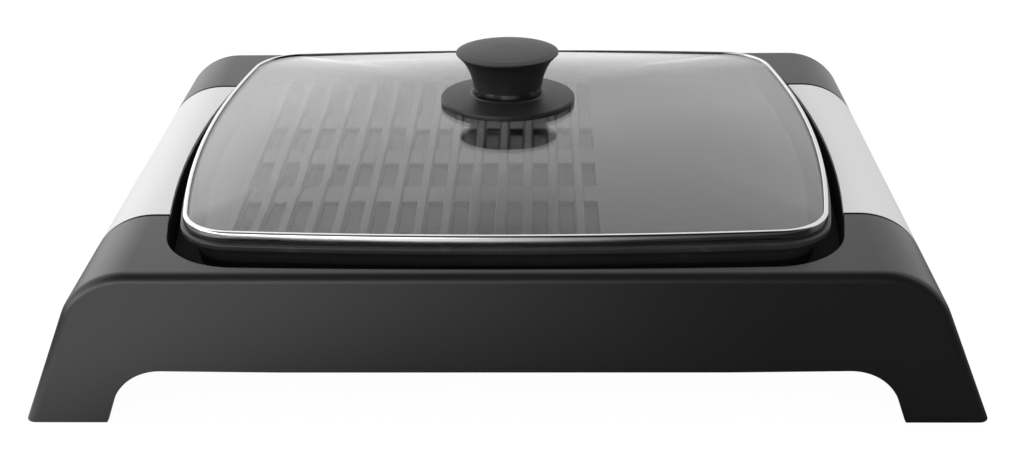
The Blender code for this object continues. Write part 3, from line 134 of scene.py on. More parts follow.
def draw(name, sheet, start, strokes):
    """Draws a line: a stroke is a point to run straight to, or (middle, turn, steps) of an arc."""
    across, up, towards = SHEETS[sheet]
    here = Vector(start)
    piece = start_piece(name, across * here.x + up * here.y)
    for stroke in strokes:
        if len(stroke) == 2:
            step = Vector(stroke) - here
            bpy.ops.mesh.extrude_region_move(
                TRANSFORM_OT_translate={"value": across * step.x + up * step.y}
            )
            here = Vector(stroke)
        else:
            middle, turn, steps = stroke
            middle = Vector(middle)
            pivot = across * middle.x + up * middle.y
            bpy.ops.mesh.spin(steps=steps, angle=-turn, center=pivot, axis=towards)
            here = middle + Matrix.Rotation(turn, 2) @ (here - middle)
    put_down()
    return piece


def rounded(corners, steps):
    """Start and strokes through corners (across, up, radius), with an arc where the radius isn't zero."""
    strokes = []
    for before, here, after in zip(corners, corners[1:], corners[2:]):
        corner, radius = Vector(here[:2]), here[2]
        if not radius:
            strokes.append(corner)
            continue
        back = (Vector(before[:2]) - corner).normalized()
        onward = (Vector(after[:2]) - corner).normalized()
        half_angle = back.angle(onward) / 2
        middle = corner + (back + onward).normalized() * radius / math.sin(half_angle)
        start = corner + back * radius / math.tan(half_angle)
        end = corner + onward * radius / math.tan(half_angle)
        spoke, last_spoke = start - middle, end - middle
        turn = math.atan2(spoke.cross(last_spoke), spoke.dot(last_spoke))
        strokes += [start, (middle, turn, steps)]
    strokes.append(Vector(corners[-1][:2]))
    return Vector(corners[0][:2]), strokes


def modify(piece, kind, **settings):
    """Puts a modifier on a piece and applies it."""
    take_up(piece)
    change = piece.modifiers.new(kind.lower(), kind)
    for setting, value in settings.items():
        setattr(change, setting, value)
    bpy.ops.object.modifier_apply(modifier=change.name)


def mirror(piece, x=True, y=False):
    modify(piece, "MIRROR", use_axis=(x, y, False), merge_threshold=0.00002)


def set_normals(piece):
    """Merges doubles and points every face outwards."""
    take_up(piece, "EDIT")
    bpy.ops.mesh.select_all(action="SELECT")
    bpy.ops.mesh.remove_doubles(threshold=WELD)
    bpy.ops.mesh.normals_make_consistent(inside=False)
    put_down()


def thicken(piece, sheet, low, high):
    """Fills a closed outline and makes it a slab from low to high across its sheet."""
    towards = SHEETS[sheet][2]
    take_up(piece, "EDIT")
    bpy.ops.mesh.select_all(action="SELECT")
    bpy.ops.mesh.remove_doubles(threshold=WELD)
    bpy.ops.mesh.edge_face_add()
    bpy.ops.transform.translate(value=towards * low)
    bpy.ops.mesh.extrude_region_move(TRANSFORM_OT_translate={"value": towards * (high - low)})
    set_normals(piece)
    return piece


def pick(piece, parts, wanted):
    """Goes into edit mode with the wanted points, edges or faces selected."""
    take_up(piece, "EDIT")
    bpy.ops.mesh.select_mode(type={"verts": "VERT", "edges": "EDGE", "faces": "FACE"}[parts])
    bpy.ops.mesh.select_all(action="DESELECT")
    grid = bmesh.from_edit_mesh(piece.data)
    for part in getattr(grid, parts):
        if wanted(part):
            part.select_set(True)
    grid.select_flush_mode()
    bmesh.update_edit_mesh(piece.data)


def round_edges(piece, radius, segments, wanted):
    pick(piece, "edges", wanted)
    bpy.ops.mesh.bevel(offset=radius, segments=segments, affect="EDGES", clamp_overlap=False)
    put_down()


def carve(piece, *tools, how="DIFFERENCE"):
    """Cuts tools out of a piece, or joins them to it, and throws the tools away."""
    for tool in tools:
        modify(piece, "BOOLEAN", object=tool, operation=how, solver="EXACT")
        bpy.data.objects.remove(tool)


def block(low, high):
    low, high = Vector(low), Vector(high)
    bpy.ops.object.select_all(action="DESELECT")
    bpy.ops.mesh.primitive_cube_add(size=1, location=(low + high) / 2, scale=high - low)
    bpy.ops.object.transform_apply()
    return bpy.context.object


def peg(radius, start, end):
    start, end = Vector(start), Vector(end)
    turn = Vector((0, 0, 1)).rotation_difference(end - start).to_euler()
    bpy.ops.object.select_all(action="DESELECT")
    bpy.ops.mesh.primitive_cylinder_add(
        vertices=32, radius=radius, depth=(end - start).length, location=(start + end) / 2, rotation=turn
    )
    bpy.ops.object.transform_apply()
    return bpy.context.object


class Outline:
    """A rectangle with bowed sides and round corners. Three arcs that touch make each quarter of it."""

    def __init__(self, width, depth, side_bow, end_bow, corner, steps=(8, 18, 10)):
        side, end = Vector((width / 2 - side_bow, 0)), Vector((0, depth / 2 - end_bow))
        reach_side, reach_end = side_bow - corner, end_bow - corner
        along = end - side
        share = (reach_side**2 - reach_end**2 + along.length_squared) / (2 * along.length)
        rise = math.sqrt(reach_side**2 - share**2)
        unit = along.normalized()
        normal = Vector((-unit.y, unit.x))
        middle = max((side + unit * share + normal * rise * sign for sign in (1, -1)), key=min)
        low = math.atan2(middle.y - side.y, middle.x - side.x)
        high = math.atan2(middle.y - end.y, middle.x - end.x)
        turns = (low, high - low, math.radians(90) - high)
        self.arcs = list(zip((side, middle, end), turns, steps))
        self.half_width, self.half_depth = width / 2, depth / 2
        self.end, self.end_bow, self.corner = end, end_bow, corner

    def end_y(self, x, offset):
        """Half the depth at x, drawn out by offset, between the corners."""
        return self.end.y + math.sqrt((self.end_bow + offset) ** 2 - x**2)


lid_line = Outline(width=0.3424, depth=0.2684, side_bow=0.587, end_bow=1.870, corner=0.0294)
opening_line = Outline(width=0.3582, depth=0.2984, side_bow=0.602, end_bow=3.770, corner=0.0405)


def sweep(piece, outline):
    """Takes a section drawn at the middle of the right side round the whole outline."""
    take_up(piece, "EDIT")
    bpy.ops.mesh.select_mode(type="VERT")
    bpy.ops.mesh.select_all(action="SELECT")
    for middle, turn, steps in outline.arcs:
        bpy.ops.mesh.spin(steps=steps, angle=-turn, center=(*middle, 0), axis=(0, 0, 1))
    mirror(piece, y=True)
    set_normals(piece)


def at_level(edge, height):
    return all(abs(point.co.z - height) < WELD for point in edge.verts)


def prism(outline, offset, low, high):
    """A solid with a bowed outline, to cut or build with."""
    x = outline.half_width + offset
    piece = draw("prism", "XZ", (x, low), [(x, high)])
    sweep(piece, outline)
    for height in (low, high):
        pick(piece, "edges", lambda edge: at_level(edge, height))
        bpy.ops.mesh.edge_face_add()
    set_normals(piece)
    return piece


def side_point(inset, height):
    """The point of the leaning side at a height."""
    lean = math.tan(SIDE_LEAN)
    return Vector((HALF_SPAN - inset / math.cos(SIDE_LEAN) - (height - LEG_BOTTOM) * lean, height))


def skin_corners(inset, from_x, to_z):
    """The body's outer skin: along the deck, round the shoulder, down the side."""
    level = DECK - inset
    shoulder = (*side_point(inset, level), SHOULDER_RADIUS - inset)
    return [(from_x, level, 0), shoulder, (*side_point(inset, to_z), 0)]


def arch_corners(foot, height, radius, grow, from_z):
    """Half of an arch: up the leg's inner side and round to the flat roof."""
    roof, line, lean = height + grow, foot + grow / math.cos(ARCH_LEAN), math.tan(ARCH_LEAN)
    return [(line - from_z * lean, from_z, 0), (line - roof * lean, roof, radius + grow), (0, roof, 0)]


def half_slab(name, sheet, corners, half_length, steps):
    """A slab whose outline is drawn as one half and mirrored."""
    piece = draw(name, sheet, *rounded(corners, steps))
    mirror(piece, x=sheet == "XZ", y=sheet == "YZ")
    return thicken(piece, sheet, -half_length, half_length)


def side_arch(grow):
    """The space between the legs of one side, from left to right under the body."""
    arch = arch_corners(SIDE_ARCH_FOOT_Y, SIDE_ARCH_HEIGHT, SIDE_ARCH_RADIUS, grow, -PAST)
    return half_slab("side_arch", "YZ", [(0, -PAST, 0)] + arch, HALF_SPAN + PAST, ARCH_STEPS)


body_corners = skin_corners(0, 0, LEG_BOTTOM)
body_corners += arch_corners(ARCH_FOOT_X, ARCH_HEIGHT, ARCH_RADIUS, 0, LEG_BOTTOM)[:2]
body_corners += [(ARCH_BOW_X, ARCH_MIDDLE, ARCH_BOW), (0, ARCH_MIDDLE, 0)]
body = half_slab("body_moulding", "XZ", body_corners, HALF_DEPTH, SKIN_STEPS)


def is_end_face(face):
    return abs(face.normal.y) > SQUARE_ON


def is_outer_rim(edge):
    """Where the front or back face meets the deck, shoulder or side."""
    skins = [face for face in edge.link_faces if face.normal.z > UPWARD]
    return bool(skins) and any(is_end_face(face) for face in edge.link_faces)


round_edges(body, EDGE_RADIUS, 6, is_outer_rim)
carve(body, side_arch(0))
round_edges(body, FOOT_EDGE_RADIUS, 4, lambda edge: at_level(edge, LEG_BOTTOM) and not all(
    abs(face.normal.z) > SQUARE_ON for face in edge.link_faces
))


def is_arch_rim(edge):
    """The sharp lower edge that the arches leave along the front, the back and the sides."""
    heights = [point.co.z for point in edge.verts]
    if len(edge.link_faces) != 2 or min(heights) < LEG_BOTTOM + FOOT_EDGE_RADIUS / 2:
        return False
    return edge.calc_face_angle() > ARCH_RIM_ANGLE and max(heights) < ARCH_RIM_TOP


round_edges(body, ARCH_EDGE_RADIUS, 2, is_arch_rim)

channel_corners = [(0, -PAST, 0)] + arch_corners(ARCH_FOOT_X, ARCH_HEIGHT, ARCH_RADIUS, LIP_SET_BACK, -PAST)
channel = half_slab("channel", "XZ", channel_corners, HALF_DEPTH - LIP, ARCH_STEPS)
carve(channel, block((-1, -1, -1), (1, 1, ARCH_MIDDLE - FIT)), how="INTERSECT")
carve(body, channel)

LEG_BLOCK = 0.0085
COVER_HALF_X, COVER_HALF_Y = 0.1653, 0.1503
step_x = COVER_HALF_X + SKIN
hollow_corners = skin_corners(SKIN, 0, LEG_BLOCK)
inner_foot = ARCH_FOOT_X + LIP_SET_BACK / math.cos(ARCH_LEAN)
hollow_corners += arch_corners(inner_foot, FLOOR_BOTTOM - SKIN, LEG_HOLLOW_RADIUS, SKIN, LEG_BLOCK)[:2]
hollow_corners += [(step_x, FLOOR_BOTTOM, 0), (step_x, FLOOR_TOP, 0), (0, FLOOR_TOP, 0)]
hollow = half_slab("hollow", "XZ", hollow_corners, HALF_DEPTH - SKIN, HOLLOW_STEPS)
carve(hollow, side_arch(SKIN))
carve(body, hollow)


def band(near, far, to_z, half_length, side):
    """A strip of the body's skin between two insets, over one shoulder."""
    outer = skin_corners(near, PANEL_START_X, to_z)
    corners = outer + skin_corners(far, PANEL_START_X, to_z)[::-1] + outer[:1]
    piece = draw("band", "XZ", *rounded(corners, SKIN_STEPS))
    thicken(piece, "XZ", -half_length - PANEL_TAIL, half_length)
    if side < 0:
        take_up(piece, "EDIT")
        bpy.ops.mesh.select_all(action="SELECT")
        bpy.ops.transform.resize(value=(-1, 1, 1), center_override=(0, 0, 0))
        set_normals(piece)
    return piece


TRAY_X, TRAY_PANEL_HALF = 0.064, 0.061
TRAY_BOTTOM, TRAY_TOP = 0.0364, 0.0488
carve(body, block(
    (TRAY_X - TRAY_PANEL_HALF - FIT, HALF_DEPTH - 2 * SKIN, TRAY_BOTTOM - FIT),
    (TRAY_X + TRAY_PANEL_HALF + FIT, HALF_DEPTH + PAST, TRAY_TOP + 2 * FIT),
))
for side in (-1, 1):
    carve(body, band(
        PANEL_BED - SKIN / 2, PANEL_BED + SKIN, PANEL_BOTTOM - SKIN, PANEL_LENGTH / 2 + SKIN, side
    ), how="UNION")
carve(body, prism(opening_line, SKIN, SHELF_BOTTOM, DECK - SKIN / 2), how="UNION")
carve(body, prism(opening_line, 0, SHELF_TOP, DECK + PAST))
round_edges(body, OPENING_EDGE_RADIUS, 3, lambda edge: (
    at_level(edge, DECK) and edge.calc_face_angle(0) > SHARP_ANGLE
))
for side in (-1, 1):
    carve(body, band(-PAST, PANEL_BED, PANEL_BOTTOM - FIT, PANEL_LENGTH / 2 + FIT, side))
carve(body, prism(lid_line, -SHELF_INSET, SHELF_BOTTOM - PAST, SHELF_TOP + PAST))
INLET_X, INLET_Z, INLET_HALF_X, INLET_HALF_Z = -0.110, 0.0645, 0.025, 0.011
NOTCH_LEFT, NOTCH_RIGHT, NOTCH_FRONT, NOTCH_BACK = -0.1445, -0.0755, 0.1012, 0.1450
FLOOR_WINDOW_X, FLOOR_WINDOW_Y = 0.1413, 0.1383
carve(
    body,
    block((NOTCH_LEFT, NOTCH_FRONT, SHELF_BOTTOM - PAST), (NOTCH_RIGHT, NOTCH_BACK, SHELF_TOP + PAST)),
    block((INLET_X - INLET_HALF_X - FIT, opening_line.half_depth - 2 * PAST, INLET_Z - INLET_HALF_Z - FIT),
          (INLET_X + INLET_HALF_X + FIT, HALF_DEPTH + PAST, INLET_Z + INLET_HALF_Z + FIT)),
    block((-COVER_HALF_X, -COVER_HALF_Y, ARCH_MIDDLE - PAST), (COVER_HALF_X, COVER_HALF_Y, FLOOR_BOTTOM)),
    block((-FLOOR_WINDOW_X, -FLOOR_WINDOW_Y, ARCH_MIDDLE - PAST),
          (FLOOR_WINDOW_X, FLOOR_WINDOW_Y, FLOOR_TOP + PAST)),
)
PAD_HALF_X, PAD_HALF_Y, PAD_X, PAD_Y, PAD_TOP = 0.0128, 0.0138, 0.2179, 0.135, 0.0053
for side in (-1, 1):
    for end in (-1, 1):
        middle = Vector((side * PAD_X, end * PAD_Y, 0))
        reach = Vector((PAD_HALF_X, PAD_HALF_Y, 0))
        carve(body, block(middle - reach - Vector((0, 0, PAST)), middle + reach + Vector((0, 0, PAD_TOP))))


def smooth(piece, angle=30):
    """Smooth shading that keeps flat faces flat and hard edges hard."""
    take_up(piece)
    bpy.ops.object.shade_smooth_by_angle(angle=math.radians(angle))
    modify(piece, "WEIGHTED_NORMAL", keep_sharp=True, weight=50)


smooth(body)


class Wire:
    """One output of a material's nodes. Sums and products of wires add their Math nodes."""

    def __init__(self, socket):
        self.socket = socket

    def node(self, kind, settings, inputs, output=0):
        """Adds a node of a kind, sets it up, and fills its sockets with values or wires."""
        made = self.socket.id_data.nodes.new("ShaderNode" + kind)
        for setting, value in settings.items():
            if setting == "stops":
                ramp = made.color_ramp.elements
                while len(ramp) < len(value):
                    ramp.new(1.0)
                for stop, (place, shade) in zip(ramp, value):
                    stop.position, stop.color = place, (shade, shade, shade, 1.0)
            else:
                setattr(made, setting, value)
        for name, value in inputs.items():
            if isinstance(value, Wire):
                self.socket.id_data.links.new(value.socket, made.inputs[name])
            else:
                made.inputs[name].default_value = value
        return Wire(made.outputs[output])

    def reckon(self, operation, *values):
        return self.node("Math", {"operation": operation}, dict(enumerate(values)))

    def __add__(self, other):
        return self.reckon("ADD", self, other)

    def __radd__(self, other):
        return self.reckon("ADD", other, self)

    def __sub__(self, other):
        return self.reckon("SUBTRACT", self, other)

    def __rsub__(self, other):
        return self.reckon("SUBTRACT", other, self)

    def __mul__(self, other):
        return self.reckon("MULTIPLY", self, other)

    def __rmul__(self, other):
        return self.reckon("MULTIPLY", other, self)

    def ease(self, start, end, first, last):
        """A soft step: first below start, last above end."""
        return self.node("MapRange", {"interpolation_type": "SMOOTHSTEP"}, {
            "Value": self, "From Min": start, "From Max": end, "To Min": first, "To Max": last,
        })

    def split(self):
        """The three parts of a place or direction."""
        parts = self.node("SeparateXYZ", {}, {0: self}).socket.node
        return [Wire(part) for part in parts.outputs]

    def size(self):
        return self.reckon("ABSOLUTE", self)

    def noise(self, scale, detail, stretch=(1, 1, 1)):
        """Soft noise from 0 to 1 in these places, with features of 1 / scale metres."""
        places = self
        if stretch != (1, 1, 1):
            places = self.node("Mapping", {}, {"Vector": self, "Scale": stretch})
        return self.node("TexNoise", {}, {"Vector": places, "Scale": scale, "Detail": detail})

    def ramp(self, *stops):
        """This value taken through a curve of (place, height) stops."""
        return self.node("ValToRGB", {"stops": stops}, {"Fac": self})

    def mix(self, first, second):
        """The first colour where this is 0, the second where it is 1."""
        ends = {6: (*first, 1.0), 7: (*second, 1.0)}
        return self.node("Mix", {"data_type": "RGBA"}, {0: self, **ends}, output=2)

    def bump(self, strength, height):
        """A surface direction that follows this value as height."""
        return self.node("Bump", {}, {"Strength": strength, "Distance": height, "Height": self})


def new_finish(name, **constants):
    """A Principled finish with the values that are the same all over it, its shader and its object places."""
    material = bpy.data.materials.new(name)
    material.use_nodes = True
    shader = material.node_tree.nodes["Principled BSDF"]
    for socket, value in constants.items():
        shader.inputs[socket.replace("_", " ")].default_value = value
    places = material.node_tree.nodes.new("ShaderNodeTexCoord")
    return material, shader, Wire(places.outputs["Object"])


def feed(shader, **wires):
    for socket, wire in wires.items():
        shader.id_data.links.new(wire.socket, shader.inputs[socket.replace("_", " ")])


black_plastic, shader, places = new_finish("black_plastic", Specular_IOR_Level=0.46)
cloud = places.noise(14.0, 3.0)
grain = places.noise(2600.0, 1.0)
out, deep, high = places.split()
# Inside the well the plastic is painted 60 % darker and made rougher: painted shade in the recess, though it
# is one moulding with the outside.
WELL_SIDES, WELL_ENDS = (0.184, 0.186), (0.150, 0.152)
WELL_LOW, WELL_HIGH = (0.053, 0.055), (0.0808, 0.0822)
well_shade = out.size().ease(*WELL_SIDES, 1, 0) * deep.size().ease(*WELL_ENDS, 1, 0)
well_shade = well_shade * high.ease(*WELL_HIGH, 1, 0) * high.ease(*WELL_LOW, 0, 1)
plastic_shade = (0.57 + cloud * 0.26 + grain * 0.17) * (1 - 0.6 * well_shade)
feed(
    shader,
    Base_Color=plastic_shade.mix((0, 0, 0), (0.0096, 0.0096, 0.0097)),
    Roughness=(0.31 + cloud * 0.05 + grain * 0.06) * (1 - well_shade) + 0.75 * well_shade,
    Normal=grain.bump(0.14, 0.00012),
)


def dress(piece, finish, slot, carrier, *stood_for):
    """Gives a new piece its finish, its body, and the CAD nodes that it stands for."""
    piece.data.materials.clear()
    piece.data.materials.append(finish)
    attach(piece, carrier)
    if stood_for:
        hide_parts(*stood_for)


def coat(finish, *names):
    """Gives CAD nodes a finish."""
    for name in names:
        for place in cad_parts[name].material_slots:
            place.material = finish


dress(body, black_plastic, "black_plastic", "base", "base_housing")

# Foot pads: four soft black rubber blocks pressed into the ends of the legs. They carry the grill and keep
# it from sliding.
rubber, shader, places = new_finish("foot_rubber", Specular_IOR_Level=0.3)
speckle = places.noise(900.0, 3.0)
feed(
    shader,
    Base_Color=speckle.mix((0.014, 0.014, 0.014), (0.030, 0.030, 0.030)),
    Roughness=0.72 + speckle * 0.2,
    Normal=speckle.bump(0.3, 0.0002),
)
coat(rubber, *[f"foot_pad_{end}_{side}" for end in ("front", "back") for side in ("left", "right")])

# Side panels: two strips in silver-painted plastic that wrap the shoulders between the black ends. Each is
# set flush in a shallow bed and held from inside by two screws. Just short of the panels' ends their colour
# turns black, a painted shade that makes the seams read dark.
silver_paint, shader, places = new_finish("silver_paint", Metallic=0.15, Specular_IOR_Level=0.4)
flake = places.noise(3200.0, 1.0)
drift = places.noise(9.0, 2.0)
_, along, _ = places.split()
PANEL_EDGE_RADIUS = 0.0004
# The black at each end of a panel is painted shade for the seam between panel and body.
SEAM_SHADE_EDGE = (PANEL_LENGTH + PANEL_TAIL) / 2 - PANEL_SEAM
clear_of_seam_shade = (along - PANEL_TAIL / 2).size()
clear_of_seam_shade = clear_of_seam_shade.ease(SEAM_SHADE_EDGE - PANEL_EDGE_RADIUS, SEAM_SHADE_EDGE - PANEL_EDGE_RADIUS / 4, 1, 0)
paint_shade = (0.885 + flake * 0.08 + drift * 0.035) * clear_of_seam_shade
feed(
    shader,
    Base_Color=paint_shade.mix((0.012, 0.012, 0.012), (0.80, 0.80, 0.795)),
    Roughness=0.42 + flake * 0.12,
    Normal=flake.bump(0.05, 0.00005),
)
for side, side_name in ((-1, "left"), (1, "right")):
    panel = band(0, PANEL_THICKNESS, PANEL_BOTTOM, PANEL_LENGTH / 2 - PANEL_SEAM, side)
    panel.name = panel.data.name = f"silver_panel_{side_name}"
    carve(panel, prism(opening_line, 0, DECK - 2 * PANEL_BED, DECK + PAST))
    round_edges(panel, PANEL_EDGE_RADIUS, 2, lambda edge: edge.calc_face_angle(0) > SHARP_ANGLE)
    smooth(panel)
    dress(panel, silver_paint, "silver_plastic", "base", f"side_panel_{side_name}")

# Screws: zinc-plated steel, pan headed. They hold the panels, the cover, the reflector, the element's
# clips and the guard.
plated, shader, places = new_finish("zinc_plating", Metallic=1.0)
spangle = places.noise(160.0, 4.0)
feed(
    shader,
    Base_Color=spangle.mix((0.50, 0.50, 0.51), (0.64, 0.64, 0.65)),
    Roughness=0.26 + spangle * 0.18,
    Normal=spangle.bump(0.08, 0.0002),
)
coat(plated, *[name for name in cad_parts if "_screw_" in name])

# Bottom cover: a flat black plastic plate with eight vents, which also carries the drip tray's rails.
# The sleeve round the way in for the plug is of the same plastic.
coat(black_plastic, "bottom_cover", "inlet_shroud")

# Heat reflector: a shallow pan pressed from bright aluminised sheet, hung under the shelf. It has faint
# rolling lines and is a little dulled by heat.
reflector_sheet, shader, places = new_finish("reflector_sheet", Metallic=1.0)
rolling = places.noise(420.0, 3.0, (1, 0.03, 1))
haze = places.noise(18.0, 4.0)
feed(
    shader,
    Base_Color=haze.mix((0.56, 0.555, 0.54), (0.70, 0.70, 0.695)),
    Roughness=0.22 + rolling * 0.10 + haze * 0.14,
    Normal=rolling.bump(0.10, 0.00006),
)
coat(reflector_sheet, "heat_reflector")

# Plate seats: four moulded buttons of grey silicone, pressed into the shelf. The hot plate stands on them,
# clear of the plastic.
silicone, shader, places = new_finish("grey_silicone", Subsurface_Weight=0.1, Subsurface_Scale=0.002)
bloom = places.noise(700.0, 2.0)
feed(
    shader,
    Base_Color=bloom.mix((0.26, 0.26, 0.27), (0.34, 0.34, 0.35)),
    Roughness=0.50 + bloom * 0.15,
    Normal=bloom.bump(0.1, 0.0001),
)
coat(silicone, *[f"plate_seat_{end}_{side}" for end in ("front", "back") for side in ("left", "right")])

# Drip tray: a shallow drawer in black plastic under the plate's drain, which pulls out at the back by a
# notch in its panel.
coat(black_plastic, "drip_tray")

# Hot plate: one aluminium casting under a dark non-stick coat. Its left part has ribs with pockets and
# cross bars between them, and the right is flat. A drain at the front lets fat down a spout into the tray.
PLATE_RIM_LOW, PLATE_RIM_HIGH = 0.0836, 0.0873
COOKING_LEVEL, PLATE_UNDERSIDE = 0.0755, 0.068
# Places in the plate's section, counted outwards from the lid's line.
PLATE_FOOT, PLATE_WALL, PLATE_RIM_OUT = -0.0065, -0.0040, 0.0016
PLATE_RIM_IN, PLATE_SLOPE, PLATE_LEVEL_EDGE = -0.0045, -0.0090, -0.0125
RIB_TOP = 0.0780
RIB_PITCH, RIB_START_X, FLAT_START_X = 0.01385, 0.0388, 0.0505
RIB_INSET, RIB_LEAST_HALF = 0.0165, 0.050
RIB_HALF_FOOT, RIB_HALF_TOP, RIB_ROUND, RIB_END_ROUND, RIB_SINK = 0.0028, 0.0021, 0.0008, 0.0009, 0.0008
POCKET_FLOOR = 0.0730
POCKET_HALF, POCKET_REACH, POCKET_ROUND, POCKET_LEAST = 0.0040, 0.0041, 0.0012, 0.0082
MIDDLE_BAR_HALF, OUTER_BAR_START, OUTER_BAR_END = 0.0095, 0.0405, 0.0595
DRAIN_Y, DRAIN_RADIUS, SPOUT_RADIUS, SPOUT_END = -0.1042, 0.004, 0.0055, 0.056

line = lid_line.half_width
plate_section = [
    (line + PLATE_FOOT, PLATE_UNDERSIDE, 0), (line + PLATE_WALL, PLATE_RIM_LOW, 0.0004),
    (line + PLATE_RIM_OUT, PLATE_RIM_LOW, 0.0009), (line + PLATE_RIM_OUT, PLATE_RIM_HIGH, 0.0013),
    (line + PLATE_RIM_IN, PLATE_RIM_HIGH, 0.0010), (line + PLATE_SLOPE, COOKING_LEVEL, 0.0022),
    (line + PLATE_LEVEL_EDGE, COOKING_LEVEL, 0),
]
plate = draw("hot_plate", "XZ", *rounded(plate_section, 5))
sweep(plate, lid_line)
for height in (PLATE_UNDERSIDE, COOKING_LEVEL):
    pick(plate, "edges", lambda edge: at_level(edge, height) and edge.is_boundary)
    bpy.ops.mesh.edge_face_add()
set_normals(plate)


def half_depth_at(x, inset):
    """Half the lid line's depth at x, drawn in by an inset, also where the corner cuts it short."""
    (_, low, _), (middle, bend, _), _ = lid_line.arcs
    radius = lid_line.corner - inset
    if abs(x) > middle.x + radius * math.cos(low):
        return 0.0
    if abs(x) > middle.x + radius * math.cos(low + bend):
        return middle.y + math.sqrt(radius**2 - (abs(x) - middle.x) ** 2)
    return lid_line.end_y(abs(x), -inset)


def join(pieces):
    """Makes one piece of several."""
    bpy.ops.object.select_all(action="DESELECT")
    for piece in pieces:
        piece.select_set(True)
    bpy.context.view_layer.objects.active = pieces[0]
    bpy.ops.object.join()
    return bpy.context.object


rib_places = []
x = RIB_START_X
while half_depth_at(x, RIB_INSET) > RIB_LEAST_HALF:
    rib_places.append(x)
    x -= RIB_PITCH

ribs = []
for x in rib_places:
    half = half_depth_at(x, RIB_INSET)
    left_foot, right_foot = x - RIB_HALF_FOOT, x + RIB_HALF_FOOT
    rib = draw("rib", "XZ", *rounded([
        (right_foot, COOKING_LEVEL - RIB_SINK, 0), (right_foot, COOKING_LEVEL, 0),
        (x + RIB_HALF_TOP, RIB_TOP, RIB_ROUND), (x - RIB_HALF_TOP, RIB_TOP, RIB_ROUND),
        (left_foot, COOKING_LEVEL, 0), (left_foot, COOKING_LEVEL - RIB_SINK, 0),
        (right_foot, COOKING_LEVEL - RIB_SINK, 0),
    ], 3))
    ribs.append(thicken(rib, "XZ", -half, half))


def is_rib_end(edge):
    start, end = edge.verts[0].co, edge.verts[1].co
    return abs(start.y - end.y) < WELD and min(start.z, end.z) > COOKING_LEVEL - WELD


rib_set = join(ribs)
round_edges(rib_set, RIB_END_ROUND, 3, is_rib_end)
spout = peg(SPOUT_RADIUS, (TRAY_X, DRAIN_Y, SPOUT_END), (TRAY_X, DRAIN_Y, PLATE_UNDERSIDE + PAST / 2))
carve(plate, rib_set, spout, how="UNION")

pockets = []
for x in [place + RIB_PITCH / 2 for place in rib_places[1:]] + [(RIB_START_X + FLAT_START_X) / 2]:
    half = half_depth_at(abs(x) + POCKET_REACH, RIB_INSET)
    for low_y, high_y in (
        (-half, -OUTER_BAR_END), (-OUTER_BAR_START, -MIDDLE_BAR_HALF),
        (MIDDLE_BAR_HALF, OUTER_BAR_START), (OUTER_BAR_END, half),
    ):
        if high_y - low_y > POCKET_LEAST:
            pockets.append(block(
                (x - POCKET_HALF, low_y, POCKET_FLOOR), (x + POCKET_HALF, high_y, COOKING_LEVEL + PAST)
            ))
pocket_set = join(pockets)
round_edges(pocket_set, POCKET_ROUND, 3, lambda edge: (
    min(point.co.z for point in edge.verts) < POCKET_FLOOR + WELD
))
drain = peg(DRAIN_RADIUS, (TRAY_X, DRAIN_Y, SPOUT_END - PAST), (TRAY_X, DRAIN_Y, COOKING_LEVEL + PAST))
carve(plate, pocket_set, drain)
smooth(plate, angle=35)

coating, shader, places = new_finish("non_stick_coat", Specular_IOR_Level=0.28)
pebble = places.noise(420.0, 1.0)
smudge = places.noise(24.0, 4.0)
fleck = places.noise(160.0, 0.0).ramp((0.74, 0.0), (0.80, 1.0))
_, along, high = places.split()
# Below the cooking level the pockets are painted 75 % darker and made rougher: painted shade in the recesses,
# at full strength in front and falling to a fifth of it from 50 mm behind the middle.
pocket_shade = high.ease(COOKING_LEVEL - 0.0016, COOKING_LEVEL - 0.0003, 1, 0) * along.ease(-0.01, 0.05, 1.0, 0.2)
# The rib tops are painted lighter: a painted sheen, together with some wear of the coat.
rib_top_wear_and_sheen = high.ease(RIB_TOP - 0.0012, RIB_TOP - 0.0002, 0, 1)
rib_top_wear_and_sheen = rib_top_wear_and_sheen * high.ease(RIB_TOP + 0.0006, RIB_TOP + 0.0012, 1, 0)
shade = (0.40 + pebble * 0.04 + smudge * 0.34 + rib_top_wear_and_sheen * 0.16 + fleck * 0.3) * (1 - 0.75 * pocket_shade)
feed(
    shader,
    Base_Color=shade.mix((0.002, 0.002, 0.002), (0.062, 0.062, 0.062)),
    Roughness=0.27 + smudge * 0.12 + pocket_shade * 0.20,
    Normal=pebble.bump(0.006, 0.0002),
)
dress(plate, coating, "coated_cast_aluminium", "plate", "grill_plate")

# Heating element: a steel tube packed with insulation round its wire, bent in one loop under the plate.
# Heat has turned its sheath dark and faintly straw and blue.
sheath, shader, places = new_finish("heated_sheath", Metallic=0.9)
tint = places.noise(30.0, 3.0)
feed(
    shader,
    Base_Color=tint.mix((0.13, 0.125, 0.13), (0.27, 0.255, 0.235)),
    Roughness=0.38 + tint * 0.2,
    Normal=tint.bump(0.1, 0.0003),
)
coat(sheath, "heating_element")

# Clips, pins, probe socket and guard: plated steel sheet and rod under the plate. The two bushes that carry
# the pins are white ceramic.
coat(plated, *[f"element_clip_{i}" for i in (1, 2, 3)], "terminal_pin_left", "terminal_pin_right")
coat(plated, "probe_socket", "terminal_guard")
ceramic, shader, places = new_finish("white_ceramic", Coat_Weight=0.3)
bisque = places.noise(500.0, 3.0)
feed(
    shader,
    Base_Color=bisque.mix((0.74, 0.72, 0.68), (0.84, 0.82, 0.78)),
    Roughness=0.35 + bisque * 0.15,
    Normal=bisque.bump(0.1, 0.0001),
)
coat(ceramic, "ceramic_bush_left", "ceramic_bush_right")

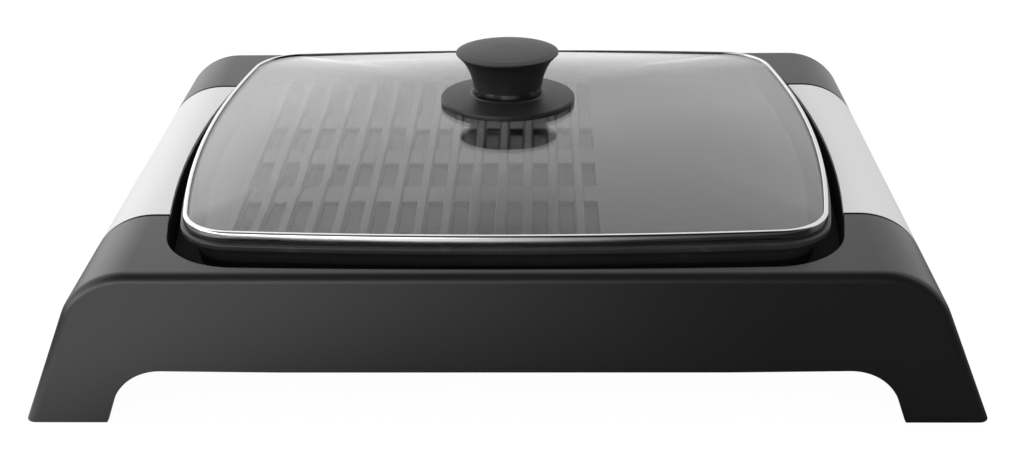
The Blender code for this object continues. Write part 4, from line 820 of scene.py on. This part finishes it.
# Lid rim: a band of polished stainless steel, rolled round the glass and folded over its edge above and
# below.
RIM_LOW, RIM_HIGH, RIM_SHEET, RIM_FOLD, RIM_LEAN = 0.0876, 0.0931, 0.0007, 0.0026, 0.0003
GLASS_EDGE_TOP = 0.0922
inner_line = line - RIM_FOLD + RIM_SHEET
rim_section = [
    (line - RIM_FOLD, RIM_LOW, 0), (line, RIM_LOW, 0.0013), (line - RIM_LEAN, RIM_HIGH, 0.0013),
    (line - RIM_FOLD, RIM_HIGH, 0.0006), (line - RIM_FOLD, GLASS_EDGE_TOP + FIT, 0),
    (inner_line, GLASS_EDGE_TOP + FIT, 0), (inner_line, RIM_HIGH - RIM_SHEET, 0.0002),
    (line - RIM_LEAN - RIM_SHEET, RIM_HIGH - RIM_SHEET, 0.0006),
    (line - RIM_SHEET, RIM_LOW + RIM_SHEET, 0.0006),
    (line - RIM_FOLD, RIM_LOW + RIM_SHEET, 0), (line - RIM_FOLD, RIM_LOW, 0),
]
rim = draw("lid_rim_band", "XZ", *rounded(rim_section, 6))
take_up(rim, "EDIT")
bpy.ops.mesh.select_all(action="SELECT")
bpy.ops.mesh.remove_doubles(threshold=WELD)
sweep(rim, lid_line)
smooth(rim)
polished, shader, places = new_finish("polished_stainless", Metallic=1.0)
polish = places.noise(55.0, 4.0)
feed(
    shader,
    Base_Color=polish.mix((0.66, 0.66, 0.665), (0.76, 0.76, 0.765)),
    Roughness=0.06 + polish * 0.10,
    Normal=polish.bump(0.10, 0.0004),
)
dress(rim, polished, "polished_steel", "lid", "lid_rim")

# Lid glass: one pane of 3.4 mm tempered glass, sagged into a shallow dome while hot, with a flat border that
# the rim grips and a hole for the knob's screw.
GLASS_RISE, GLASS_POWER, GLASS_THICKNESS = 0.0181, 2.8, 0.0034
GLASS_EDGE, GLASS_BORDER = 0.0010, 0.0026
GLASS_STEPS, GLASS_ROUNDING, GLASS_HOLE_SHARE = 40, 0.06, 0.03
glass = draw("glass_dome", "XZ", (line - GLASS_EDGE, 0), [(line - GLASS_BORDER, 0)])
sweep(glass, lid_line)


def is_inner_edge(edge):
    """A free edge on the side of its face that is towards the middle."""
    middle = (edge.verts[0].co + edge.verts[1].co) / 2
    return edge.is_boundary and middle.length < edge.link_faces[0].calc_center_median().length


pick(glass, "edges", is_inner_edge)
bpy.ops.mesh.select_mode(type="VERT")
half_width, half_depth = line - GLASS_BORDER, lid_line.half_depth - GLASS_BORDER
share = 1.0
for i in range(1, GLASS_STEPS + 1):
    smaller = 1 - (1 - GLASS_HOLE_SHARE) * i / GLASS_STEPS
    bpy.ops.mesh.extrude_region_move(TRANSFORM_OT_translate={"value": (0, 0, 0)})
    bpy.ops.transform.resize(value=(half_depth / half_width, 1, 1), center_override=(0, 0, 0))
    bpy.ops.transform.tosphere(value=GLASS_ROUNDING, center_override=(0, 0, 0))
    reach = max(point.co.y for point in bmesh.from_edit_mesh(glass.data).verts if point.select)
    fit = half_depth * smaller / reach
    bpy.ops.transform.resize(value=(fit * half_width / half_depth, fit, 1), center_override=(0, 0, 0))
    bpy.ops.mesh.select_all(action="INVERT")
    bpy.ops.transform.translate(value=(0, 0, -GLASS_RISE * (share**GLASS_POWER - smaller**GLASS_POWER)))
    bpy.ops.mesh.select_all(action="INVERT")
    share = smaller
bpy.ops.mesh.select_all(action="SELECT")
bpy.ops.transform.translate(value=(0, 0, GLASS_EDGE_TOP + GLASS_RISE * (1 - share**GLASS_POWER)))
set_normals(glass)
if sum(face.normal.z for face in glass.data.polygons) < 0:
    take_up(glass, "EDIT")
    bpy.ops.mesh.select_all(action="SELECT")
    bpy.ops.mesh.flip_normals()
modify(glass, "SOLIDIFY", thickness=GLASS_THICKNESS, offset=-1)
set_normals(glass)
smooth(glass, angle=40)
clear_glass, shader, places = new_finish("tempered_glass", Transmission_Weight=1.0, IOR=1.5)
wipe = places.noise(11.0, 4.0, (1, 2.4, 1))
feed(
    shader,
    Base_Color=wipe.mix((0.95, 0.955, 0.955), (0.975, 0.98, 0.98)),
    Roughness=0.015 + wipe * 0.05,
)
dress(glass, clear_glass, "tempered_glass", "lid", "lid_glass")

# Knob: a flange with a collar, a dark spacer ring, and a waisted cap with two small tabs over the ring. They
# are of black heat-proof plastic, a little oval, and one screw draws them down on the glass.
satin_black, shader, places = new_finish("satin_phenolic", Specular_IOR_Level=0.35)
mould = places.noise(1800.0, 1.0)
dust = places.noise(60.0, 4.0)
feed(
    shader,
    Base_Color=dust.mix((0.012, 0.012, 0.012), (0.022, 0.022, 0.022)),
    Roughness=0.34 + mould * 0.08 + dust * 0.08,
    Normal=mould.bump(0.12, 0.0001),
)

KNOB_DEPTH_SHARE, KNOB_BACK, FLANGE_BACK = 0.86, 0.0035, 0.0014
KNOB_BORE, KNOB_BORE_ZONE, KNOB_TOP = 0.0023, 0.005, 0.1404
FLANGE_LOW, FLANGE_SEAT, FLANGE_TOP, FLANGE_RADIUS = 0.1101, 0.1106, 0.1154, 0.0373
SPACER_LOW, SPACER_HIGH, SPACER_RADIUS, SPACER_BORE = 0.1157, 0.1182, 0.0189, 0.0090
CAP_LOW, PILOT_TOP, PILOT_RADIUS = 0.1184, 0.1324, 0.0022


def is_off_bore(point):
    return point.co.xy.length > KNOB_BORE_ZONE or point.co.z > KNOB_TOP - PAST


def turned(name, corners, back=KNOB_BACK):
    """A piece turned about the knob's axis, its section drawn as (radius, height, corner radius), then made
    a little oval outside its bore."""
    piece = draw(name, "XZ", *rounded(corners, 5))
    take_up(piece, "EDIT")
    bpy.ops.mesh.select_mode(type="VERT")
    bpy.ops.mesh.select_all(action="SELECT")
    bpy.ops.mesh.remove_doubles(threshold=WELD)
    bpy.ops.mesh.select_all(action="SELECT")
    bpy.ops.mesh.spin(steps=96, angle=math.radians(-360), center=(0, 0, 0), axis=(0, 0, 1))
    set_normals(piece)
    pick(piece, "verts", is_off_bore)
    bpy.ops.transform.resize(value=(1, KNOB_DEPTH_SHARE, 1), center_override=(0, 0, 0))
    bpy.ops.transform.translate(value=(0, back, 0))
    smooth(piece)
    return piece


knob_flange = turned("knob_flange", [
    (KNOB_BORE, FLANGE_SEAT, 0), (0.0320, FLANGE_SEAT, 0), (0.0345, FLANGE_LOW, 0.0004),
    (FLANGE_RADIUS, FLANGE_LOW, 0.0005), (FLANGE_RADIUS, 0.1132, 0.0011), (0.0275, 0.1142, 0.030),
    (0.0209, 0.1147, 0.0012), (0.0200, FLANGE_TOP, 0.0003), (KNOB_BORE, FLANGE_TOP, 0),
    (KNOB_BORE, FLANGE_SEAT, 0),
], FLANGE_BACK)
dress(knob_flange, satin_black, "black_plastic", "lid", "knob_base")

knob_spacer = turned("knob_spacer", [
    (SPACER_BORE, SPACER_LOW, 0), (SPACER_RADIUS, SPACER_LOW, 0.0003), (SPACER_RADIUS, SPACER_HIGH, 0.0003),
    (SPACER_BORE, SPACER_HIGH, 0), (SPACER_BORE, SPACER_LOW, 0),
])
spacer_finish, shader, places = new_finish("spacer_grey", Specular_IOR_Level=0.5, Metallic=0.6)
wear = places.noise(110.0, 2.0)
feed(
    shader,
    Base_Color=wear.ramp((0.42, 0.0), (0.62, 1.0)).mix((0.020, 0.020, 0.020), (0.095, 0.095, 0.095)),
    Roughness=0.3 + wear * 0.2,
    Normal=wear.bump(0.1, 0.0001),
)
dress(knob_spacer, spacer_finish, "plated_steel", "lid", "knob_ring")

knob_grip = turned("knob_grip", [
    (PILOT_RADIUS, CAP_LOW, 0), (0.0191, CAP_LOW, 0.0004), (0.0200, 0.1240, 0.030), (0.0236, 0.1326, 0.020),
    (0.0285, 0.1377, 0.0004), (0.0281, 0.1382, 0.0004), (0.0245, 0.1391, 0.010), (0.0180, 0.1398, 0.040),
    (0.0095, 0.14027, 0.080), (0.0, KNOB_TOP, 0),
    (0.0, PILOT_TOP, 0), (PILOT_RADIUS, PILOT_TOP, 0), (PILOT_RADIUS, CAP_LOW, 0),
])
TAB_RADIUS, TAB_TURN, TAB_HALF, TAB_LOW, TAB_HIGH, TAB_ROUND = 0.0192, 48, 0.0025, 0.1157, 0.1194, 0.0005
for side in (-1, 1):
    turn = math.radians(-90 + side * TAB_TURN)
    tab_y = TAB_RADIUS * KNOB_DEPTH_SHARE * math.sin(turn) + KNOB_BACK
    middle = Vector((TAB_RADIUS * math.cos(turn), tab_y, 0))
    reach = Vector((TAB_HALF, TAB_HALF / 2, 0))
    tab = block(middle - reach + Vector((0, 0, TAB_LOW)), middle + reach + Vector((0, 0, TAB_HIGH)))
    round_edges(tab, TAB_ROUND, 2, lambda edge: True)
    carve(knob_grip, tab, how="UNION")
smooth(knob_grip)
dress(knob_grip, satin_black, "black_plastic", "lid", "knob_cap")
coat(plated, "knob_screw", "knob_washer")
coat(silicone, "knob_gasket")

# Floor: a seamless white sheet that keeps the grill's faint shadow. Gloss and glass see it brightest in
# front on the left, dark in front on the right, and dim under the grill and close beside it.
bpy.ops.object.select_all(action="DESELECT")
bpy.ops.mesh.primitive_plane_add(size=12)
floor = bpy.context.object
floor.name = floor.data.name = "white_sheet"


def new_stage_finish(name):
    """An empty stage material: its nodes, links and output."""
    material = bpy.data.materials.new(name)
    material.use_nodes = True
    tree = material.node_tree
    tree.nodes.clear()
    return material, tree, tree.nodes.new("ShaderNodeOutputMaterial")


def glow(tree, strength):
    """White light of a strength that varies."""
    made = tree.nodes.new("ShaderNodeEmission")
    made.inputs["Color"].default_value = (1, 1, 1, 1)
    tree.links.new(strength.socket, made.inputs["Strength"])
    return made.outputs[0]


def blend_shaders(tree, factor, first, second):
    made = tree.nodes.new("ShaderNodeMixShader")
    tree.links.new(factor.socket, made.inputs[0])
    tree.links.new(first, made.inputs[1])
    tree.links.new(second, made.inputs[2])
    return made.outputs[0]


def background_rays(path):
    """1 for rays that should see the white background: from the camera, off gloss, and through glass."""
    wires = [Wire(path.outputs[f"Is {kind} Ray"]) for kind in ("Camera", "Glossy", "Transmission")]
    return wires[0].reckon("MAXIMUM", wires[0], wires[0].reckon("MAXIMUM", wires[1], wires[2]))


paper, tree, output = new_stage_finish("white_paper")
path = tree.nodes.new("ShaderNodeLightPath")
spots = Wire(tree.nodes.new("ShaderNodeTexCoord").outputs["Object"])
plain = tree.nodes.new("ShaderNodeBsdfDiffuse")
plain.inputs["Color"].default_value = (0.80, 0.80, 0.80, 1)
DIM_REACH_X, DIM_REACH_Y = 0.28, 0.212
shrunk = spots.node("Mapping", {}, {"Vector": spots, "Scale": (1 / DIM_REACH_X, 1 / DIM_REACH_Y, 0)})
reach = spots.node("VectorMath", {"operation": "LENGTH"}, {0: shrunk}, output=1)
across, along, _ = spots.split()
front = along.ease(-0.16, 0.0, 1.0, 0.0)
from_left = across.ease(-0.27, 0.17, 2.0, 0.05) * across.ease(-0.42, -0.28, 0.15, 1.0)
open_floor = reach.ease(0.75, 1.45, 0.12, 1.0) * (1 + front * (from_left - 1))
open_floor = open_floor * (1 + (1 - front) * across.ease(-0.9, -0.1, 0.7, 0.0))
beside = across.size().ease(0.22, 0.32, 0, 1) * along.size().ease(0.08, 0.30, 1, 0)
open_floor = open_floor * (1 - 0.8 * beside)
camera_ray = Wire(path.outputs["Is Camera Ray"])
level = camera_ray.reckon("MAXIMUM", camera_ray * 1.05, open_floor)
OWN_LIGHT = 0.93        # how much of the sheet's white is light of its own, which takes no shadow
tree.links.new(blend_shaders(
    tree, background_rays(path) * OWN_LIGHT, plain.outputs[0], glow(tree, level)
), output.inputs[0])
floor.data.materials.append(paper)

# Backdrop: the studio is white behind the grill and to the camera, and dim overhead and behind the camera,
# but for a bright low window at the front left. Two soft cards, which the camera doesn't see, light the
# left side from behind and from in front.
world = bpy.data.worlds.new("studio")
bpy.context.scene.world = world
world.use_nodes = True
tree = world.node_tree
tree.nodes.clear()
output = tree.nodes.new("ShaderNodeOutputWorld")
path = tree.nodes.new("ShaderNodeLightPath")
heading = Wire(tree.nodes.new("ShaderNodeTexCoord").outputs["Generated"])
sideways, back, upward = heading.split()
DIM_MIDDLE = (0.0, -0.42, 0.91)
DIM_INSIDE, DIM_OUTSIDE = math.cos(math.radians(34)), math.cos(math.radians(54))
nearness = heading.node("VectorMath", {"operation": "DOT_PRODUCT"}, {0: heading, 1: DIM_MIDDLE}, output=1)
front = back.ease(-0.3, 0.1, 1.0, 0.0)
from_left = sideways.ease(-0.30, 0.12, 1.5, 0.06)
overhead = nearness.ease(DIM_OUTSIDE, DIM_INSIDE, 1.03, 0.08) * (1 + front * (from_left - 1))
overhead = overhead * sideways.ease(-0.5, 0.3, 1.38, 0.92) * upward.ease(0.5, 0.75, 1.0, 1.2)
window = front * sideways.ease(-0.15, -0.02, 5.0, 0.0) * upward.ease(0.04, 0.24, 1.0, 0.0)
studio_light = overhead + window
camera_ray = Wire(path.outputs["Is Camera Ray"])
white, ambient = tree.nodes.new("ShaderNodeBackground"), tree.nodes.new("ShaderNodeBackground")
white.inputs["Color"].default_value = (1, 1, 1, 1)
tree.links.new(camera_ray.reckon("MAXIMUM", camera_ray, studio_light).socket, white.inputs["Strength"])
ambient.inputs["Color"].default_value = (1, 1, 1, 1)
ambient.inputs["Strength"].default_value = 0.85
tree.links.new(blend_shaders(
    tree, background_rays(path), ambient.outputs[0], white.outputs[0]
), output.inputs[0])


def light_card(name, place, aim, width, height, strength):
    """A soft-edged glowing card that every ray but the camera's sees."""
    bpy.ops.object.select_all(action="DESELECT")
    bpy.ops.mesh.primitive_plane_add(size=2)
    card = bpy.context.object
    card.name = card.data.name = name
    card.location = place
    card.rotation_euler = (Vector(aim) - Vector(place)).to_track_quat("-Z", "Y").to_euler()
    card.scale = (width / 2, height / 2, 1)
    finish, tree, output = new_stage_finish(name + "_glow")
    spots = Wire(tree.nodes.new("ShaderNodeTexCoord").outputs["Object"])
    path = tree.nodes.new("ShaderNodeLightPath")
    radius = spots.node("VectorMath", {"operation": "LENGTH"}, {0: spots}, output=1)
    fade = radius.node("MapRange", {"interpolation_type": "SMOOTHERSTEP"}, {
        "Value": radius, "From Min": 0.0, "From Max": 1.0, "To Min": strength, "To Max": 0.0,
    })
    clear = tree.nodes.new("ShaderNodeBsdfTransparent").outputs[0]
    both = tree.nodes.new("ShaderNodeAddShader")
    tree.links.new(clear, both.inputs[0])
    tree.links.new(glow(tree, fade), both.inputs[1])
    tree.links.new(blend_shaders(
        tree, Wire(path.outputs["Is Camera Ray"]), both.outputs[0], clear
    ), output.inputs[0])
    card.data.materials.append(finish)


light_card("back_left_card", (-1.9, 1.6, 0.9), (-0.05, 0.05, 0.08), width=3.0, height=2.2, strength=1.0)
light_card("front_left_card", (-1.7, -1.6, 0.42), (-0.1, -0.1, 0.04), width=2.2, height=1.3, strength=1.2)

bpy.context.scene.view_settings.view_transform = "Standard"
